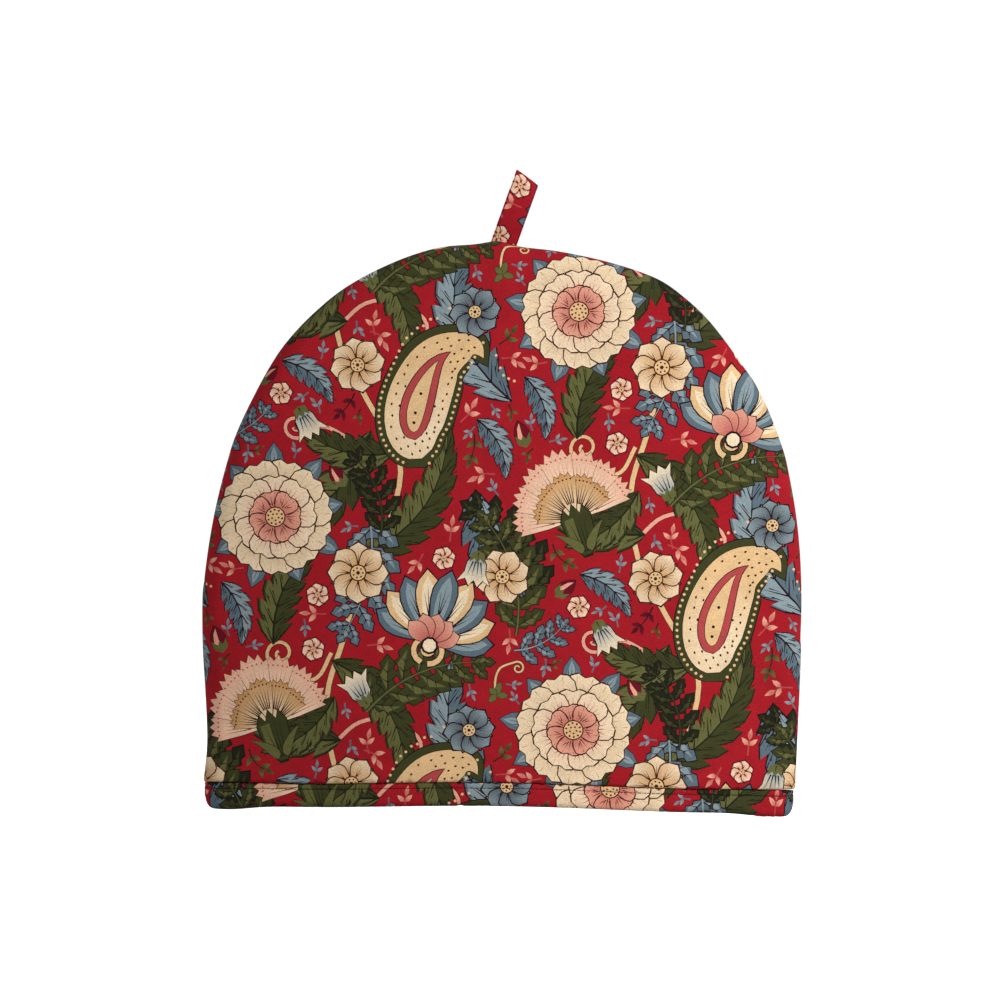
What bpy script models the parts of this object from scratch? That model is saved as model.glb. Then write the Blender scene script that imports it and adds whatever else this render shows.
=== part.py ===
"""A padded tea cosy of printed cotton, standing on its hem.

Two padded dome-shaped panels are sewn together round the dome and stand open at the base. A separate
band wraps their bottom edges, and a doubled tape loop has its two ends caught in the top seam.
The X axis runs across the cosy, Y from front to back, and Z up. The hem stands at Z = 0.
"""
import bisect
import math

import bmesh
import bpy
from mathutils import Matrix, Vector

# Every size below is in millimetres, and every angle in degrees.
MILLIMETRE = 0.001

# Dome outline: the upper half of a superellipse, leaning a little to the right.
DOME_HALF_WIDTH = 165.0
DOME_RISE = 222.0
DOME_POWER = 2.4
DOME_CENTRE_X = -1.0
DOME_CENTRE_Z = 87.4
DOME_LEAN = 3.0
DOME_FIRST_ANGLE = 6.0
DOME_ANGLE_STEP = 4.0
CURVE_PIECES = 5

# Sides below the dome: (height, half width on the left, half width on the right).
SIDE_ROWS = (
    (13.1, 162.8, 162.8),
    (34.0, 161.0, 163.4),
    (60.0, 162.2, 164.2),
    (88.0, 164.2, 164.9),
)

# Where the sewn edge swells out or draws in:
# (angle round the dome from the right-hand side, width of the swelling, rise).
SEAM_SWELLS = (
    (38.0, 3.0, 0.5),
    (55.5, 4.0, -1.5),
    (69.5, 4.0, 1.3),
    (81.0, 6.0, -0.9),
    (95.0, 2.5, 1.4),
    (102.0, 5.0, 1.5),
    (119.0, 3.0, 0.3),
    (129.0, 5.0, 0.8),
    (145.0, 4.0, 0.6),
)

# Panels: padded walls that thin out to the seam between them.
WALL = 6.8
BELLY = 42.0
SPINE_HALF_WIDTH = 60.0
ROLL_DEPTH = 7.4
ROLL_REACH = 9.0
SEAM_GAP = 0.3
COLUMNS = 60
BELLY_RINGS = 8
ROLL_RINGS = 4

# Soft hollows in the padding: (x, z, half width, half height, depth).
FRONT_HOLLOWS = (
    (143.0, 62.0, 7.0, 34.0, 2.0),
    (-104.0, 236.0, 26.0, 14.0, 1.6),
    (96.0, 226.0, 30.0, 18.0, 1.2),
    (-30.0, 92.0, 60.0, 26.0, 1.5),
)
BACK_HOLLOWS = (
    (-138.0, 74.0, 8.0, 30.0, 1.8),
    (70.0, 190.0, 44.0, 24.0, 1.6),
    (-70.0, 236.0, 30.0, 16.0, 1.4),
    (20.0, 80.0, 56.0, 24.0, 1.5),
)
HOLLOW_FADE = 30.0
HOLLOW_EDGE_FADE = 0.25

# Hem band: a strip folded round the bottom edges of the panels.
BAND_TOP = 12.8
BAND_STEP = 0.8
BAND_LEAF = 1.4
BAND_BEVEL = 1.2
FIT_GAP = 0.3
HEM_ARCH_RISE = 3.2
HEM_ARCH_HALF_SPAN = 112.0
HEM_ARCH_FADE = 90.0

# Hanging loop: a tape doubled over, open between its two layers.
LOOP_WIDTH = 14.2
LOOP_TAPE = 1.5
LOOP_HEIGHT = 36.0
LOOP_SWELL = 6.8
LOOP_LEAN = 19.0
LOOP_TOP_SLANT = 0.3
LOOP_FOOT_X = -1.0
LOOP_FOOT_Z = 312.5
LOOP_FOOT_DEPTH = 7.0
LOOP_NECK = 1.0
LOOP_STEPS = 22
LOOP_FIRST_ANGLE = 40.0

SHARP_ANGLE = 50.0
COTTON_ROUGHNESS = 0.85

PRINT_RED = (0.42, 0.014, 0.022)
BAND_RED = (0.40, 0.014, 0.024)
LOOP_RED = (0.44, 0.018, 0.028)


def clear_scene():
    """Remove every object, so the model starts alone."""
    for thing in list(bpy.data.objects):
        bpy.data.objects.remove(thing, do_unlink=True)


def cloth_material(name, colour):
    """Return a matt cotton material of the given colour."""
    material = bpy.data.materials.new(name)
    material.use_nodes = True
    shader = material.node_tree.nodes["Principled BSDF"]
    shader.inputs["Base Color"].default_value = (*colour, 1.0)
    shader.inputs["Roughness"].default_value = COTTON_ROUGHNESS
    shader.inputs["Metallic"].default_value = 0.0
    return material


def swell_at(angle):
    """Return how far the sewn edge stands out at an angle round the dome."""
    total = 0.0
    for centre, width, rise in SEAM_SWELLS:
        total += rise * math.exp(-((angle - centre) / width) ** 2)
    return total


def dome_point(angle):
    """Return (x, z) on the dome, at an angle from its right-hand side."""
    turn = math.radians(angle)
    across, up = math.cos(turn), math.sin(turn)
    size = abs(across / DOME_HALF_WIDTH) ** DOME_POWER + abs(up / DOME_RISE) ** DOME_POWER
    radius = size ** (-1.0 / DOME_POWER) + swell_at(angle)
    lean = math.radians(DOME_LEAN)
    x = radius * (across * math.cos(lean) + up * math.sin(lean))
    z = radius * (up * math.cos(lean) - across * math.sin(lean))
    return Vector((DOME_CENTRE_X + x, DOME_CENTRE_Z + z))


def outline_guides():
    """Return the points that the outline runs through, from left hem to right hem."""
    left = [Vector((-row[1], row[0])) for row in SIDE_ROWS]
    right = [Vector((row[2], row[0])) for row in reversed(SIDE_ROWS)]
    steps = int((180.0 - 2.0 * DOME_FIRST_ANGLE) / DOME_ANGLE_STEP)
    dome = [dome_point(180.0 - DOME_FIRST_ANGLE - DOME_ANGLE_STEP * step) for step in range(steps + 1)]
    return left + dome + right


def smooth_curve(guides, pieces):
    """Return a fine smooth polyline through the guide points."""
    ends = [2 * guides[0] - guides[1]] + guides + [2 * guides[-1] - guides[-2]]
    points = []
    for before, start, end, after in zip(ends, ends[1:], ends[2:], ends[3:]):
        for piece in range(pieces):
            f = piece / pieces
            bend = (2 * before - 5 * start + 4 * end - after) * f * f
            twist = (3 * start - before - 3 * end + after) * f ** 3
            points.append(0.5 * (2 * start + (end - before) * f + bend + twist))
    return points + [guides[-1]]


def inset_curve(points, inset):
    """Return the polyline moved inward, towards the middle of the dome."""
    moved = []
    last = len(points) - 1
    for index, point in enumerate(points):
        along = (points[min(index + 1, last)] - points[max(index - 1, 0)]).normalized()
        inward = Vector((along.y, -along.x))
        moved.append(point + inward * inset)
    for index in (0, last):
        moved[index].y = points[index].y
    return moved


def even_points(points, count):
    """Return points an equal way apart along a polyline."""
    lengths = [0.0]
    for start, end in zip(points, points[1:]):
        lengths.append(lengths[-1] + (end - start).length)
    spaced = []
    index = 0
    for step in range(count + 1):
        target = lengths[-1] * step / count
        while index < len(points) - 2 and lengths[index + 1] < target:
            index += 1
        share = (target - lengths[index]) / (lengths[index + 1] - lengths[index])
        spaced.append(points[index].lerp(points[index + 1], share))
    return spaced


FINE_OUTLINE = smooth_curve(outline_guides(), CURVE_PIECES)
BASE_MIDDLE = Vector((0.0, SIDE_ROWS[0][0]))


def hem_arch(x, z):
    """Return how far the cloth is lifted where the hem bows up between its ends."""
    if abs(x) >= HEM_ARCH_HALF_SPAN or z >= HEM_ARCH_FADE:
        return 0.0
    bow = (1.0 - (x / HEM_ARCH_HALF_SPAN) ** 2) ** 2
    fade = (1.0 - z / HEM_ARCH_FADE) ** 2 if z > BAND_TOP else (1.0 - BAND_TOP / HEM_ARCH_FADE) ** 2
    return HEM_ARCH_RISE * bow * fade


def hollow_at(hollows, x, z):
    """Return the depth of the soft hollows in the padding at a place."""
    fade = min(max((z - BAND_TOP) / HOLLOW_FADE, 0.0), 1.0)
    depth = 0.0
    for centre_x, centre_z, half_width, half_height, sink in hollows:
        away = ((x - centre_x) / half_width) ** 2 + ((z - centre_z) / half_height) ** 2
        depth += sink * math.exp(-away)
    return depth * fade


class Shell:
    """One surface of a panel's wall, a given way in from the cosy's outer face."""

    def __init__(self, inset, hollows):
        self.inset = inset
        self.hollows = hollows
        outline = inset_curve(FINE_OUTLINE, inset)
        self.edge = even_points(outline, COLUMNS)
        spokes = [point - BASE_MIDDLE for point in reversed(outline)]
        self.spoke_angles = [math.atan2(spoke.y, spoke.x) for spoke in spokes]
        self.spoke_lengths = [spoke.length for spoke in spokes]
        self.roll_reach = ROLL_REACH - inset
        self.roll_depth = ROLL_DEPTH - inset

    def spine(self, column):
        """Return the point on the base that a column of the surface starts from."""
        x = SPINE_HALF_WIDTH * (2.0 * column / COLUMNS - 1.0)
        return Vector((x, BASE_MIDDLE.y))

    def fullness(self, place):
        """Return 1 at the middle of the base, falling to 0 at the sewn edge."""
        spoke = place - BASE_MIDDLE
        angle = math.atan2(spoke.y, spoke.x)
        after = min(max(bisect.bisect(self.spoke_angles, angle), 1), len(self.spoke_angles) - 1)
        first, second = self.spoke_angles[after - 1], self.spoke_angles[after]
        share = min(max((angle - first) / (second - first), 0.0), 1.0)
        reach = self.spoke_lengths[after - 1] * (1.0 - share) + self.spoke_lengths[after] * share
        return max(1.0 - (spoke.length / reach) ** 2, 0.0)

    def reach_of_ring(self, ring, length):
        """Return the share of the way from the spine to the edge for a ring."""
        if ring <= BELLY_RINGS:
            return (1.0 - self.roll_reach / length) * ring / BELLY_RINGS
        turn = 0.5 * math.pi * (BELLY_RINGS + ROLL_RINGS - ring) / ROLL_RINGS
        return 1.0 - self.roll_reach * (1.0 - math.cos(turn)) / length

    def point(self, column, ring):
        """Return (x, depth, z), where depth is counted from the plane between the panels."""
        start, end = self.spine(column), self.edge[column]
        length = (end - start).length
        share = self.reach_of_ring(ring, length)
        place = start.lerp(end, share)
        into_roll = 1.0 - min((1.0 - share) * length / self.roll_reach, 1.0)
        roll = self.roll_depth * math.sqrt(max(1.0 - into_roll ** 2, 0.0))
        swell = self.fullness(place)
        depth = SEAM_GAP / 2 + roll + BELLY * swell
        depth -= hollow_at(self.hollows, place.x, place.y) * min(swell / HOLLOW_EDGE_FADE, 1.0)
        return Vector((place.x, depth, place.y + hem_arch(place.x, place.y)))

    def base_path(self):
        """Return (x, depth) along the bottom edge, from its left tip to its right tip."""
        last_ring = BELLY_RINGS + ROLL_RINGS
        left = [self.point(0, ring) for ring in range(last_ring, 0, -1)]
        middle = [self.point(column, 0) for column in range(COLUMNS + 1)]
        right = [self.point(COLUMNS, ring) for ring in range(1, last_ring + 1)]
        return [(place.x, place.y) for place in left + middle + right]


def add_ring(mesh, path, height, side):
    """Add a row of corners along a base path, at a height, and return it."""
    row = []
    for x, depth in path:
        place = Vector((x, side * depth, height + hem_arch(x, height)))
        row.append(mesh.verts.new(place * MILLIMETRE))
    return row


def bridge(mesh, row_a, row_b, closed=False):
    """Join two rows of corners with faces."""
    count = len(row_a)
    for index in range(count if closed else count - 1):
        following = (index + 1) % count
        mesh.faces.new((row_a[index], row_a[following], row_b[following], row_b[index]))


def add_surface(mesh, shell, side):
    """Add one surface of a panel, and return its corners by column and ring."""
    grid = []
    for column in range(COLUMNS + 1):
        row = []
        for ring in range(BELLY_RINGS + ROLL_RINGS + 1):
            place = shell.point(column, ring)
            row.append(mesh.verts.new(Vector((place.x, side * place.y, place.z)) * MILLIMETRE))
        grid.append(row)
    for row_a, row_b in zip(grid, grid[1:]):
        bridge(mesh, row_a, row_b)
    return grid


def bottom_corners(grid):
    """Return a surface's corners along its bottom edge, from left tip to right tip."""
    left = list(reversed(grid[0][1:]))
    middle = [row[0] for row in grid]
    return left + middle + grid[-1][1:]


def finish_mesh(mesh, name, material):
    """Turn a built mesh into a smooth-shaded object, with its faces pointing out."""
    bmesh.ops.recalc_face_normals(mesh, faces=mesh.faces)
    data = bpy.data.meshes.new(name)
    mesh.to_mesh(data)
    mesh.free()
    data.materials.append(material)
    data.shade_smooth()
    data.set_sharp_from_angle(angle=math.radians(SHARP_ANGLE))
    thing = bpy.data.objects.new(name, data)
    bpy.context.scene.collection.objects.link(thing)
    return thing


def build_panel(name, side, hollows, material):
    """Build one padded panel; side is -1 for the front and 1 for the back."""
    mesh = bmesh.new()
    outer = add_surface(mesh, Shell(0.0, hollows), side)
    inner = add_surface(mesh, Shell(WALL, hollows), side)
    tongue_out = Shell(BAND_STEP + BAND_LEAF + FIT_GAP, ()).base_path()
    tongue_in = Shell(WALL - BAND_LEAF - 2 * FIT_GAP, ()).base_path()
    ledge = SIDE_ROWS[0][0]
    foot = BAND_LEAF + FIT_GAP
    rows = [bottom_corners(outer)]
    rows.append(add_ring(mesh, tongue_out, ledge, side))
    rows.append(add_ring(mesh, tongue_out, foot, side))
    rows.append(add_ring(mesh, tongue_in, foot, side))
    rows.append(add_ring(mesh, tongue_in, ledge, side))
    rows.append(bottom_corners(inner))
    for row_a, row_b in zip(rows, rows[1:]):
        bridge(mesh, row_a, row_b)
    seam_out = [row[-1] for row in outer]
    seam_in = [row[-1] for row in inner]
    bridge(mesh, seam_out[1:-1], seam_in[1:-1])
    for end, beside in ((0, 1), (-1, -2)):
        mesh.faces.new([row[end] for row in rows[1:5]])
        seam_end = (seam_in[end], seam_in[beside], seam_out[beside], seam_out[end])
        mesh.faces.new((rows[1][end], rows[4][end], *seam_end))
    return finish_mesh(mesh, name, material)


def build_band(material):
    """Build the hem band, a closed ring that wraps the bottom edges inside and out."""
    outer_leaf = BAND_STEP + BAND_LEAF
    inner_face = WALL - FIT_GAP / 2
    section = (
        (BAND_STEP, BAND_TOP),
        (BAND_STEP, BAND_BEVEL),
        (BAND_STEP + BAND_BEVEL, 0.0),
        (inner_face - BAND_BEVEL, 0.0),
        (inner_face, BAND_BEVEL),
        (inner_face, BAND_TOP),
        (inner_face - BAND_LEAF, BAND_TOP),
        (inner_face - BAND_LEAF, BAND_LEAF),
        (outer_leaf, BAND_LEAF),
        (outer_leaf, BAND_TOP),
    )
    mesh = bmesh.new()
    rows = []
    for inset, height in section:
        front = Shell(inset, ()).base_path()
        ring = [(front[0][0], 0.0)] + [(x, -depth) for x, depth in front[1:-1]]
        ring += [(front[-1][0], 0.0)] + [(x, depth) for x, depth in reversed(front[1:-1])]
        rows.append(add_ring(mesh, ring, height, 1.0))
    for row_a, row_b in zip(rows, rows[1:] + rows[:1]):
        bridge(mesh, row_a, row_b, closed=True)
    return finish_mesh(mesh, "hem_band", material)


def loop_frame():
    """Return the matrix that leans the loop and sets it on the top seam."""
    place = Vector((LOOP_FOOT_X, 0.0, LOOP_FOOT_Z)) * MILLIMETRE
    return Matrix.Translation(place) @ Matrix.Rotation(math.radians(LOOP_LEAN), 4, "Y")


def loop_section():
    """Return the outer and inner outlines of the doubled tape, seen from its side."""
    outer, inner = [], []
    for step in range(LOOP_STEPS + 1):
        share = step / LOOP_STEPS
        turn = math.radians(LOOP_FIRST_ANGLE + (360.0 - 2.0 * LOOP_FIRST_ANGLE) * share)
        up = 0.5 * LOOP_HEIGHT * (1.0 - math.cos(turn))
        out = LOOP_SWELL * math.sin(turn) * math.sin(turn / 2)
        rise = 0.5 * LOOP_HEIGHT * math.sin(turn)
        spread = math.cos(turn) * math.sin(turn / 2) + 0.5 * math.sin(turn) * math.cos(turn / 2)
        across = Vector((rise, -LOOP_SWELL * spread)).normalized()
        centre = Vector((out, up))
        outer.append(centre + across * LOOP_TAPE / 2)
        inner.append(centre - across * LOOP_TAPE / 2)
    return outer, inner


def build_loop(material):
    """Build the hanging loop: a teardrop of tape on a foot that the top seam holds."""
    outer, inner = loop_section()
    gap_floor = Vector((0.0, inner[0].y - LOOP_TAPE))
    heights = (LOOP_NECK, -LOOP_FOOT_DEPTH)
    foot = [Vector((LOOP_TAPE, height)) for height in heights]
    foot += [Vector((-LOOP_TAPE, height)) for height in reversed(heights)]
    mesh = bmesh.new()
    frame = loop_frame()

    def corner(place, across):
        height = max(place.y / LOOP_HEIGHT, 0.0)
        slant = 1.0 - LOOP_TOP_SLANT * (across / LOOP_HEIGHT) * height ** 2
        local = Vector((across, place.x, place.y * slant))
        return mesh.verts.new(frame @ (local * MILLIMETRE))

    sides = []
    for across in (-LOOP_WIDTH / 2, LOOP_WIDTH / 2):
        outer_row = [corner(place, across) for place in outer]
        inner_row = [corner(place, across) for place in inner]
        floor = corner(gap_floor, across)
        feet = [corner(place, across) for place in foot]
        bridge(mesh, outer_row, inner_row)
        mesh.faces.new((inner_row[0], floor, inner_row[-1], outer_row[-1], *reversed(feet), outer_row[0]))
        sides.append((outer_row, inner_row, floor, feet))
    (outer_a, inner_a, floor_a, feet_a), (outer_b, inner_b, floor_b, feet_b) = sides
    bridge(mesh, outer_a, outer_b)
    bridge(mesh, [floor_a] + inner_a, [floor_b] + inner_b)
    bridge(mesh, [inner_a[-1], floor_a], [inner_b[-1], floor_b])
    bridge(mesh, [outer_a[0]] + feet_a + [outer_a[-1]], [outer_b[0]] + feet_b + [outer_b[-1]])
    return finish_mesh(mesh, "hanging_loop", material)


def cut_loop_slot(panels):
    """Cut the slot in the top seam that holds the foot of the loop."""
    width = LOOP_WIDTH + 2 * FIT_GAP
    thickness = 2 * (LOOP_TAPE + FIT_GAP)
    depth = LOOP_FOOT_DEPTH + FIT_GAP
    above = LOOP_HEIGHT / 2
    size = Vector((width, thickness, depth + above)) * MILLIMETRE
    middle = Vector((0.0, 0.0, (above - depth) / 2)) * MILLIMETRE
    mesh = bmesh.new()
    bmesh.ops.create_cube(mesh, size=1.0, matrix=Matrix.Translation(middle) @ Matrix.Diagonal((*size, 1.0)))
    data = bpy.data.meshes.new("loop_slot")
    mesh.to_mesh(data)
    mesh.free()
    cutter = bpy.data.objects.new("loop_slot", data)
    bpy.context.scene.collection.objects.link(cutter)
    cutter.matrix_world = loop_frame()
    cutter.hide_render = True
    cutter.display_type = "WIRE"
    for panel in panels:
        cut = panel.modifiers.new("loop slot", "BOOLEAN")
        cut.operation = "DIFFERENCE"
        cut.solver = "EXACT"
        cut.object = cutter


def main():
    """Build every piece of the cosy."""
    clear_scene()
    print_cloth = cloth_material("printed cotton", PRINT_RED)
    band_cloth = cloth_material("band cotton", BAND_RED)
    loop_cloth = cloth_material("loop tape", LOOP_RED)
    front = build_panel("front_panel", -1.0, FRONT_HOLLOWS, print_cloth)
    back = build_panel("back_panel", 1.0, BACK_HOLLOWS, print_cloth)
    build_band(band_cloth)
    build_loop(loop_cloth)
    cut_loop_slot((front, back))


main()
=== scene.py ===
"""The looks of a padded tea cosy in printed cotton.

Two padded panels of printed cotton are sewn together round a dome and stand open at the base. A folded
band of the same cotton wraps the hem, and a doubled tape loop stands in the top seam. The print is a
repeat of blooms, carnations, paisleys, palmettes and saw-edged leaves, cut into the cloth as faces.
Lengths are in millimetres unless a field says otherwise, and a place of flat cloth is a complex number.
"""
from __future__ import annotations

import cmath
import logging
import math
import random
from dataclasses import dataclass
from enum import Enum
from functools import partial
from typing import Callable, Iterable, Protocol, Sequence

import bpy
import numpy as np
from mathutils import Matrix, Vector
from mathutils.geometry import delaunay_2d_cdt


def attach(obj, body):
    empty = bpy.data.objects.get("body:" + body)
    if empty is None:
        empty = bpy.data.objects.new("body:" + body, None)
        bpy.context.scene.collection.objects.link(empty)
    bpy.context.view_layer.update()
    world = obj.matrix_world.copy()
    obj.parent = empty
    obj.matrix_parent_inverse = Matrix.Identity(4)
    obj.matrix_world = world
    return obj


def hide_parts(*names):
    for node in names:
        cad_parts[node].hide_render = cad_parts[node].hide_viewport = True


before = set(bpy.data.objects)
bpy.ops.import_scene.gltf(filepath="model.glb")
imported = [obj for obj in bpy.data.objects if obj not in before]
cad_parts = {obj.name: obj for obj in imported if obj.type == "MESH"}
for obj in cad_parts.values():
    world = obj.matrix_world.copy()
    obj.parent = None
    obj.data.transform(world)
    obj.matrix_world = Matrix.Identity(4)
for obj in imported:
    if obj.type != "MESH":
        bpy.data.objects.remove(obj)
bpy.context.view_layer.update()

Array = np.ndarray
Line = list[complex]
Pairs = tuple[tuple[float, float], ...]
QUARTER = 0.5 * math.pi


class Ink(Enum):
    """The dyes of the printed cotton, as sRGB numbers out of 255."""

    CRIMSON = (160, 25, 35)
    CREAM = (236, 214, 180)
    STRAW = (222, 184, 134)
    OCHRE = (196, 140, 78)
    BROWN = (66, 32, 20)
    SAGE = (98, 98, 56)
    OLIVE = (60, 62, 32)
    DARK_OLIVE = (34, 36, 20)
    PALE_SLATE = (134, 150, 155)
    SLATE = (90, 108, 118)
    DUSK = (60, 66, 74)
    NAVY = (38, 20, 26)
    SALMON = (226, 160, 136)
    ROSE = (176, 70, 70)
    MAROON = (104, 16, 32)
    BLACK = (24, 18, 20)

    def linear(self) -> tuple[float, float, float]:
        """Return the ink as linear light."""
        return linear_colour(self.value)


def linear_colour(colour: tuple[int, int, int]) -> tuple[float, float, float]:
    """Return an sRGB colour out of 255, none of its parts below 11, as linear light."""
    red, green, blue = (((part / 255 + 0.055) / 1.055) ** 2.4 for part in colour)
    return red, green, blue


@dataclass(frozen=True)
class Shape:
    """A closed patch of ink, whose corners run counter-clockwise.

    It shades from the ink at its heart to the edge's ink at a reach away.
    """

    outline: tuple[complex, ...]
    ink: Ink
    edge: Ink
    heart: complex = 0j
    reach: float = 1.0


def bowed(length: float, bulge: float, share: float, offset: float = 0.0) -> complex:
    """Find a place by a bowed line that stands up from the origin.

    Args:
        length: Its length, from end to end.
        bulge: How far it bulges to the left, as a share of that.
        share: How far up it the place is.
        offset: How far to its left the place is.

    Returns:
        The place.
    """
    top = complex(0, length)
    middle = top / 2 - length * 2 * bulge
    way = 2 * (1 - 2 * share) * middle + 2 * share * top
    return 2 * share * (1 - share) * middle + share * share * top + way / abs(way) * 1j * offset


def bowed_line(length: float, bulge: float, steps: int) -> Line:
    """Return the whole of a bowed line, in even steps."""
    return [bowed(length, bulge, step / steps) for step in range(steps + 1)]


def smooth(guides: Sequence[complex], pieces: int) -> Line:
    """Lead a smooth curve through guide points.

    Args:
        guides: The points.
        pieces: The number of steps from one to the next.

    Returns:
        The curve.
    """
    ends = [2 * guides[0] - guides[1], *guides, 2 * guides[-1] - guides[-2]]
    line = []
    for a, b, c, d in zip(ends, ends[1:], ends[2:], ends[3:]):
        for piece in range(pieces):
            t = piece / pieces
            line.append(0.5 * (2 * b + (c - a) * t + (2 * a - 5 * b + 4 * c - d) * t * t
                               + (3 * b - a - 3 * c + d) * t ** 3))
    return line + [guides[-1]]


def spiral(start: complex, heading: float, radius: float, turns: float, hand: float) -> Line:
    """Wind a curl inward from a start.

    Args:
        start: Where it starts.
        heading: The way it sets out, in degrees.
        radius: Its radius there.
        turns: How often it goes round.
        hand: 1 for left and -1 for right.

    Returns:
        The curl.
    """
    centre = start + radius * cmath.rect(1, math.radians(heading) + hand * math.pi / 2)
    steps = int(16 * turns)
    line = []
    for step in range(steps + 1):
        t = step / steps
        line.append(centre + (start - centre) * (1 - 0.8 * t) * cmath.rect(1, hand * t * turns * math.tau))
    return line


def directions(line: Line) -> Line:
    """Return the unit direction of a curve at each of its points."""
    steps = [b - a for a, b in zip([line[0], *line], [*line[1:], line[-1]])]
    return [step / abs(step) for step in steps]


def strip(line: Line, half_widths: Sequence[float]) -> Line:
    """Return the outline of a strip along a curve, left side first, from its half width at each point."""
    sides = [way * 1j * wide for way, wide in zip(directions(line), half_widths)]
    return [a + side for a, side in zip(line, sides)] + [a - side for a, side in zip(line, sides)][::-1]


def mirrored(size: float, right: Line, tip: complex, *foot: complex) -> Line:
    """Return the outline of a figure with mirrored sides, from its right side's corners for a size of 1."""
    left = [-corner.conjugate() for corner in reversed(right)]
    return [size * corner for corner in [*foot, *right, tip, *left]]


def profile(share: float, peak: float, power: float) -> float:
    """Return a blade's relative width: 0 at both its ends and 1 at its peak."""
    bend = math.log(0.5) / math.log(peak)
    return max(math.sin(math.pi * min(max(share, 0), 1) ** bend), 0) ** power


def petal(length: float, half_width: float, peak: float, grow: float = 0.0, bend: float = 0.0) -> Line:
    """Outline a pointed petal that stands up from the origin.

    Args:
        length: Its length.
        half_width: Half of its width.
        peak: How far up it is widest.
        grow: How far the outline is moved outward.
        bend: How far its tip leans to the right, as a share of its length.

    Returns:
        The outline.
    """
    steps = 7 if length > 9 else 5
    left, right = [], []
    for step in range(1, steps):
        t = step / steps
        wide = half_width * profile(t, peak, 0.75) + grow
        lean = bend * length * t * t
        left.append(complex(lean - wide, length * t))
        right.append(complex(lean + wide, length * t))
    tip = complex(bend * length, length + 1.8 * grow)
    return [complex(0, -grow)] + right + [tip] + left[::-1]


def from_outside_in(count: int, spread: float) -> list[tuple[int, float]]:
    """Return the numbers of a fan's blades and their turns in degrees, the outer ones first."""
    order = sorted(range(count), key=lambda index: -abs(index - (count - 1) / 2))
    return [(index, spread * ((index + 0.5) / count - 0.5)) for index in order]


@dataclass
class Pen:
    """Lays patches of ink, from the bottom one up, in a motif's own frame.

    The frame's axis is its turn and its size as one number, and a flipped frame is a mirror image.
    """

    shapes: list[Shape]
    origin: complex = 0j
    axis: complex = 1 + 0j
    flipped: bool = False

    def place(self, point: complex) -> complex:
        """Return where a point of the frame lies on the cloth."""
        return self.origin + self.axis * (point.conjugate() if self.flipped else point)

    def at(self, origin: complex, turn: float = 0.0, size: float = 1.0, flip: bool = False) -> "Pen":
        """Return a pen for a frame within this one: turned by degrees, of a size, and perhaps mirrored."""
        axis = cmath.rect(size, math.radians(-turn if self.flipped else turn))
        return Pen(self.shapes, self.place(origin), self.axis * axis, self.flipped != flip)

    def along(self, origin: complex, way: complex, turn: float = 0.0) -> "Pen":
        """Return a pen for a frame that stands up along a direction, turned by degrees from it."""
        return self.at(origin, math.degrees(cmath.phase(way)) - 90 + turn)

    def fill(self, outline: Line, ink: Ink, edge: Ink | None = None,
             heart: complex = 0j, reach: float = 1.0) -> None:
        """Lay a closed patch of ink.

        Args:
            outline: Its corners.
            ink: Its ink.
            edge: The ink that it shades to.
            heart: Where the shading starts.
            reach: How far away it ends.
        """
        placed = [self.place(point) for point in outline]
        area = sum((a.conjugate() * b).imag for a, b in zip(placed, placed[1:] + placed[:1]))
        if area < 0:
            placed.reverse()
        size = abs(self.axis)
        self.shapes.append(Shape(tuple(placed), ink, edge or ink, self.place(heart), reach * size))

    def edged(self, outline: Callable[[float], Line], grow: float, line: Ink,
              *inks: Ink | complex | float) -> None:
        """Lay an outline, first moved outward in a dark line's ink and then as fill does."""
        self.fill(outline(grow), line)
        self.fill(outline(0), *inks)

    def needle(self, start: complex, end: complex, width: float, ink: Ink) -> None:
        """Lay a stroke that runs out to a point."""
        side = (end - start) / abs(end - start) * 1j * width * 0.62
        self.fill([start + side, start - side, end], ink)

    def line(self, path: Line, width: float, ink: Ink, end: float = 1.0, edge: float = 0.0) -> None:
        """Lay a stroke along a curve, with a share of its width at its end and an edge on either side."""
        half_widths = [width / 2 * (1 + (end - 1) * at / (len(path) - 1)) + edge for at in range(len(path))]
        self.fill(strip(path, half_widths), ink)

    def spot(self, centre: complex, radius: float, ink: Ink, corners: int = 7) -> None:
        """Lay a round spot."""
        turns = (math.tau * step / corners for step in range(corners))
        self.fill([centre + cmath.rect(radius, turn) for turn in turns], ink)

    def spots(self, count: int, away: float, radius: float, ink: Ink) -> None:
        """Lay a ring of small spots round the origin."""
        for index in range(count):
            self.spot(cmath.rect(away, math.tau * index / count), radius, ink, 5)


class Motif(Protocol):
    """Anything that can be drawn with a pen."""

    def draw(self, pen: Pen) -> None:
        """Draw the motif about the pen's origin."""


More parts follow.
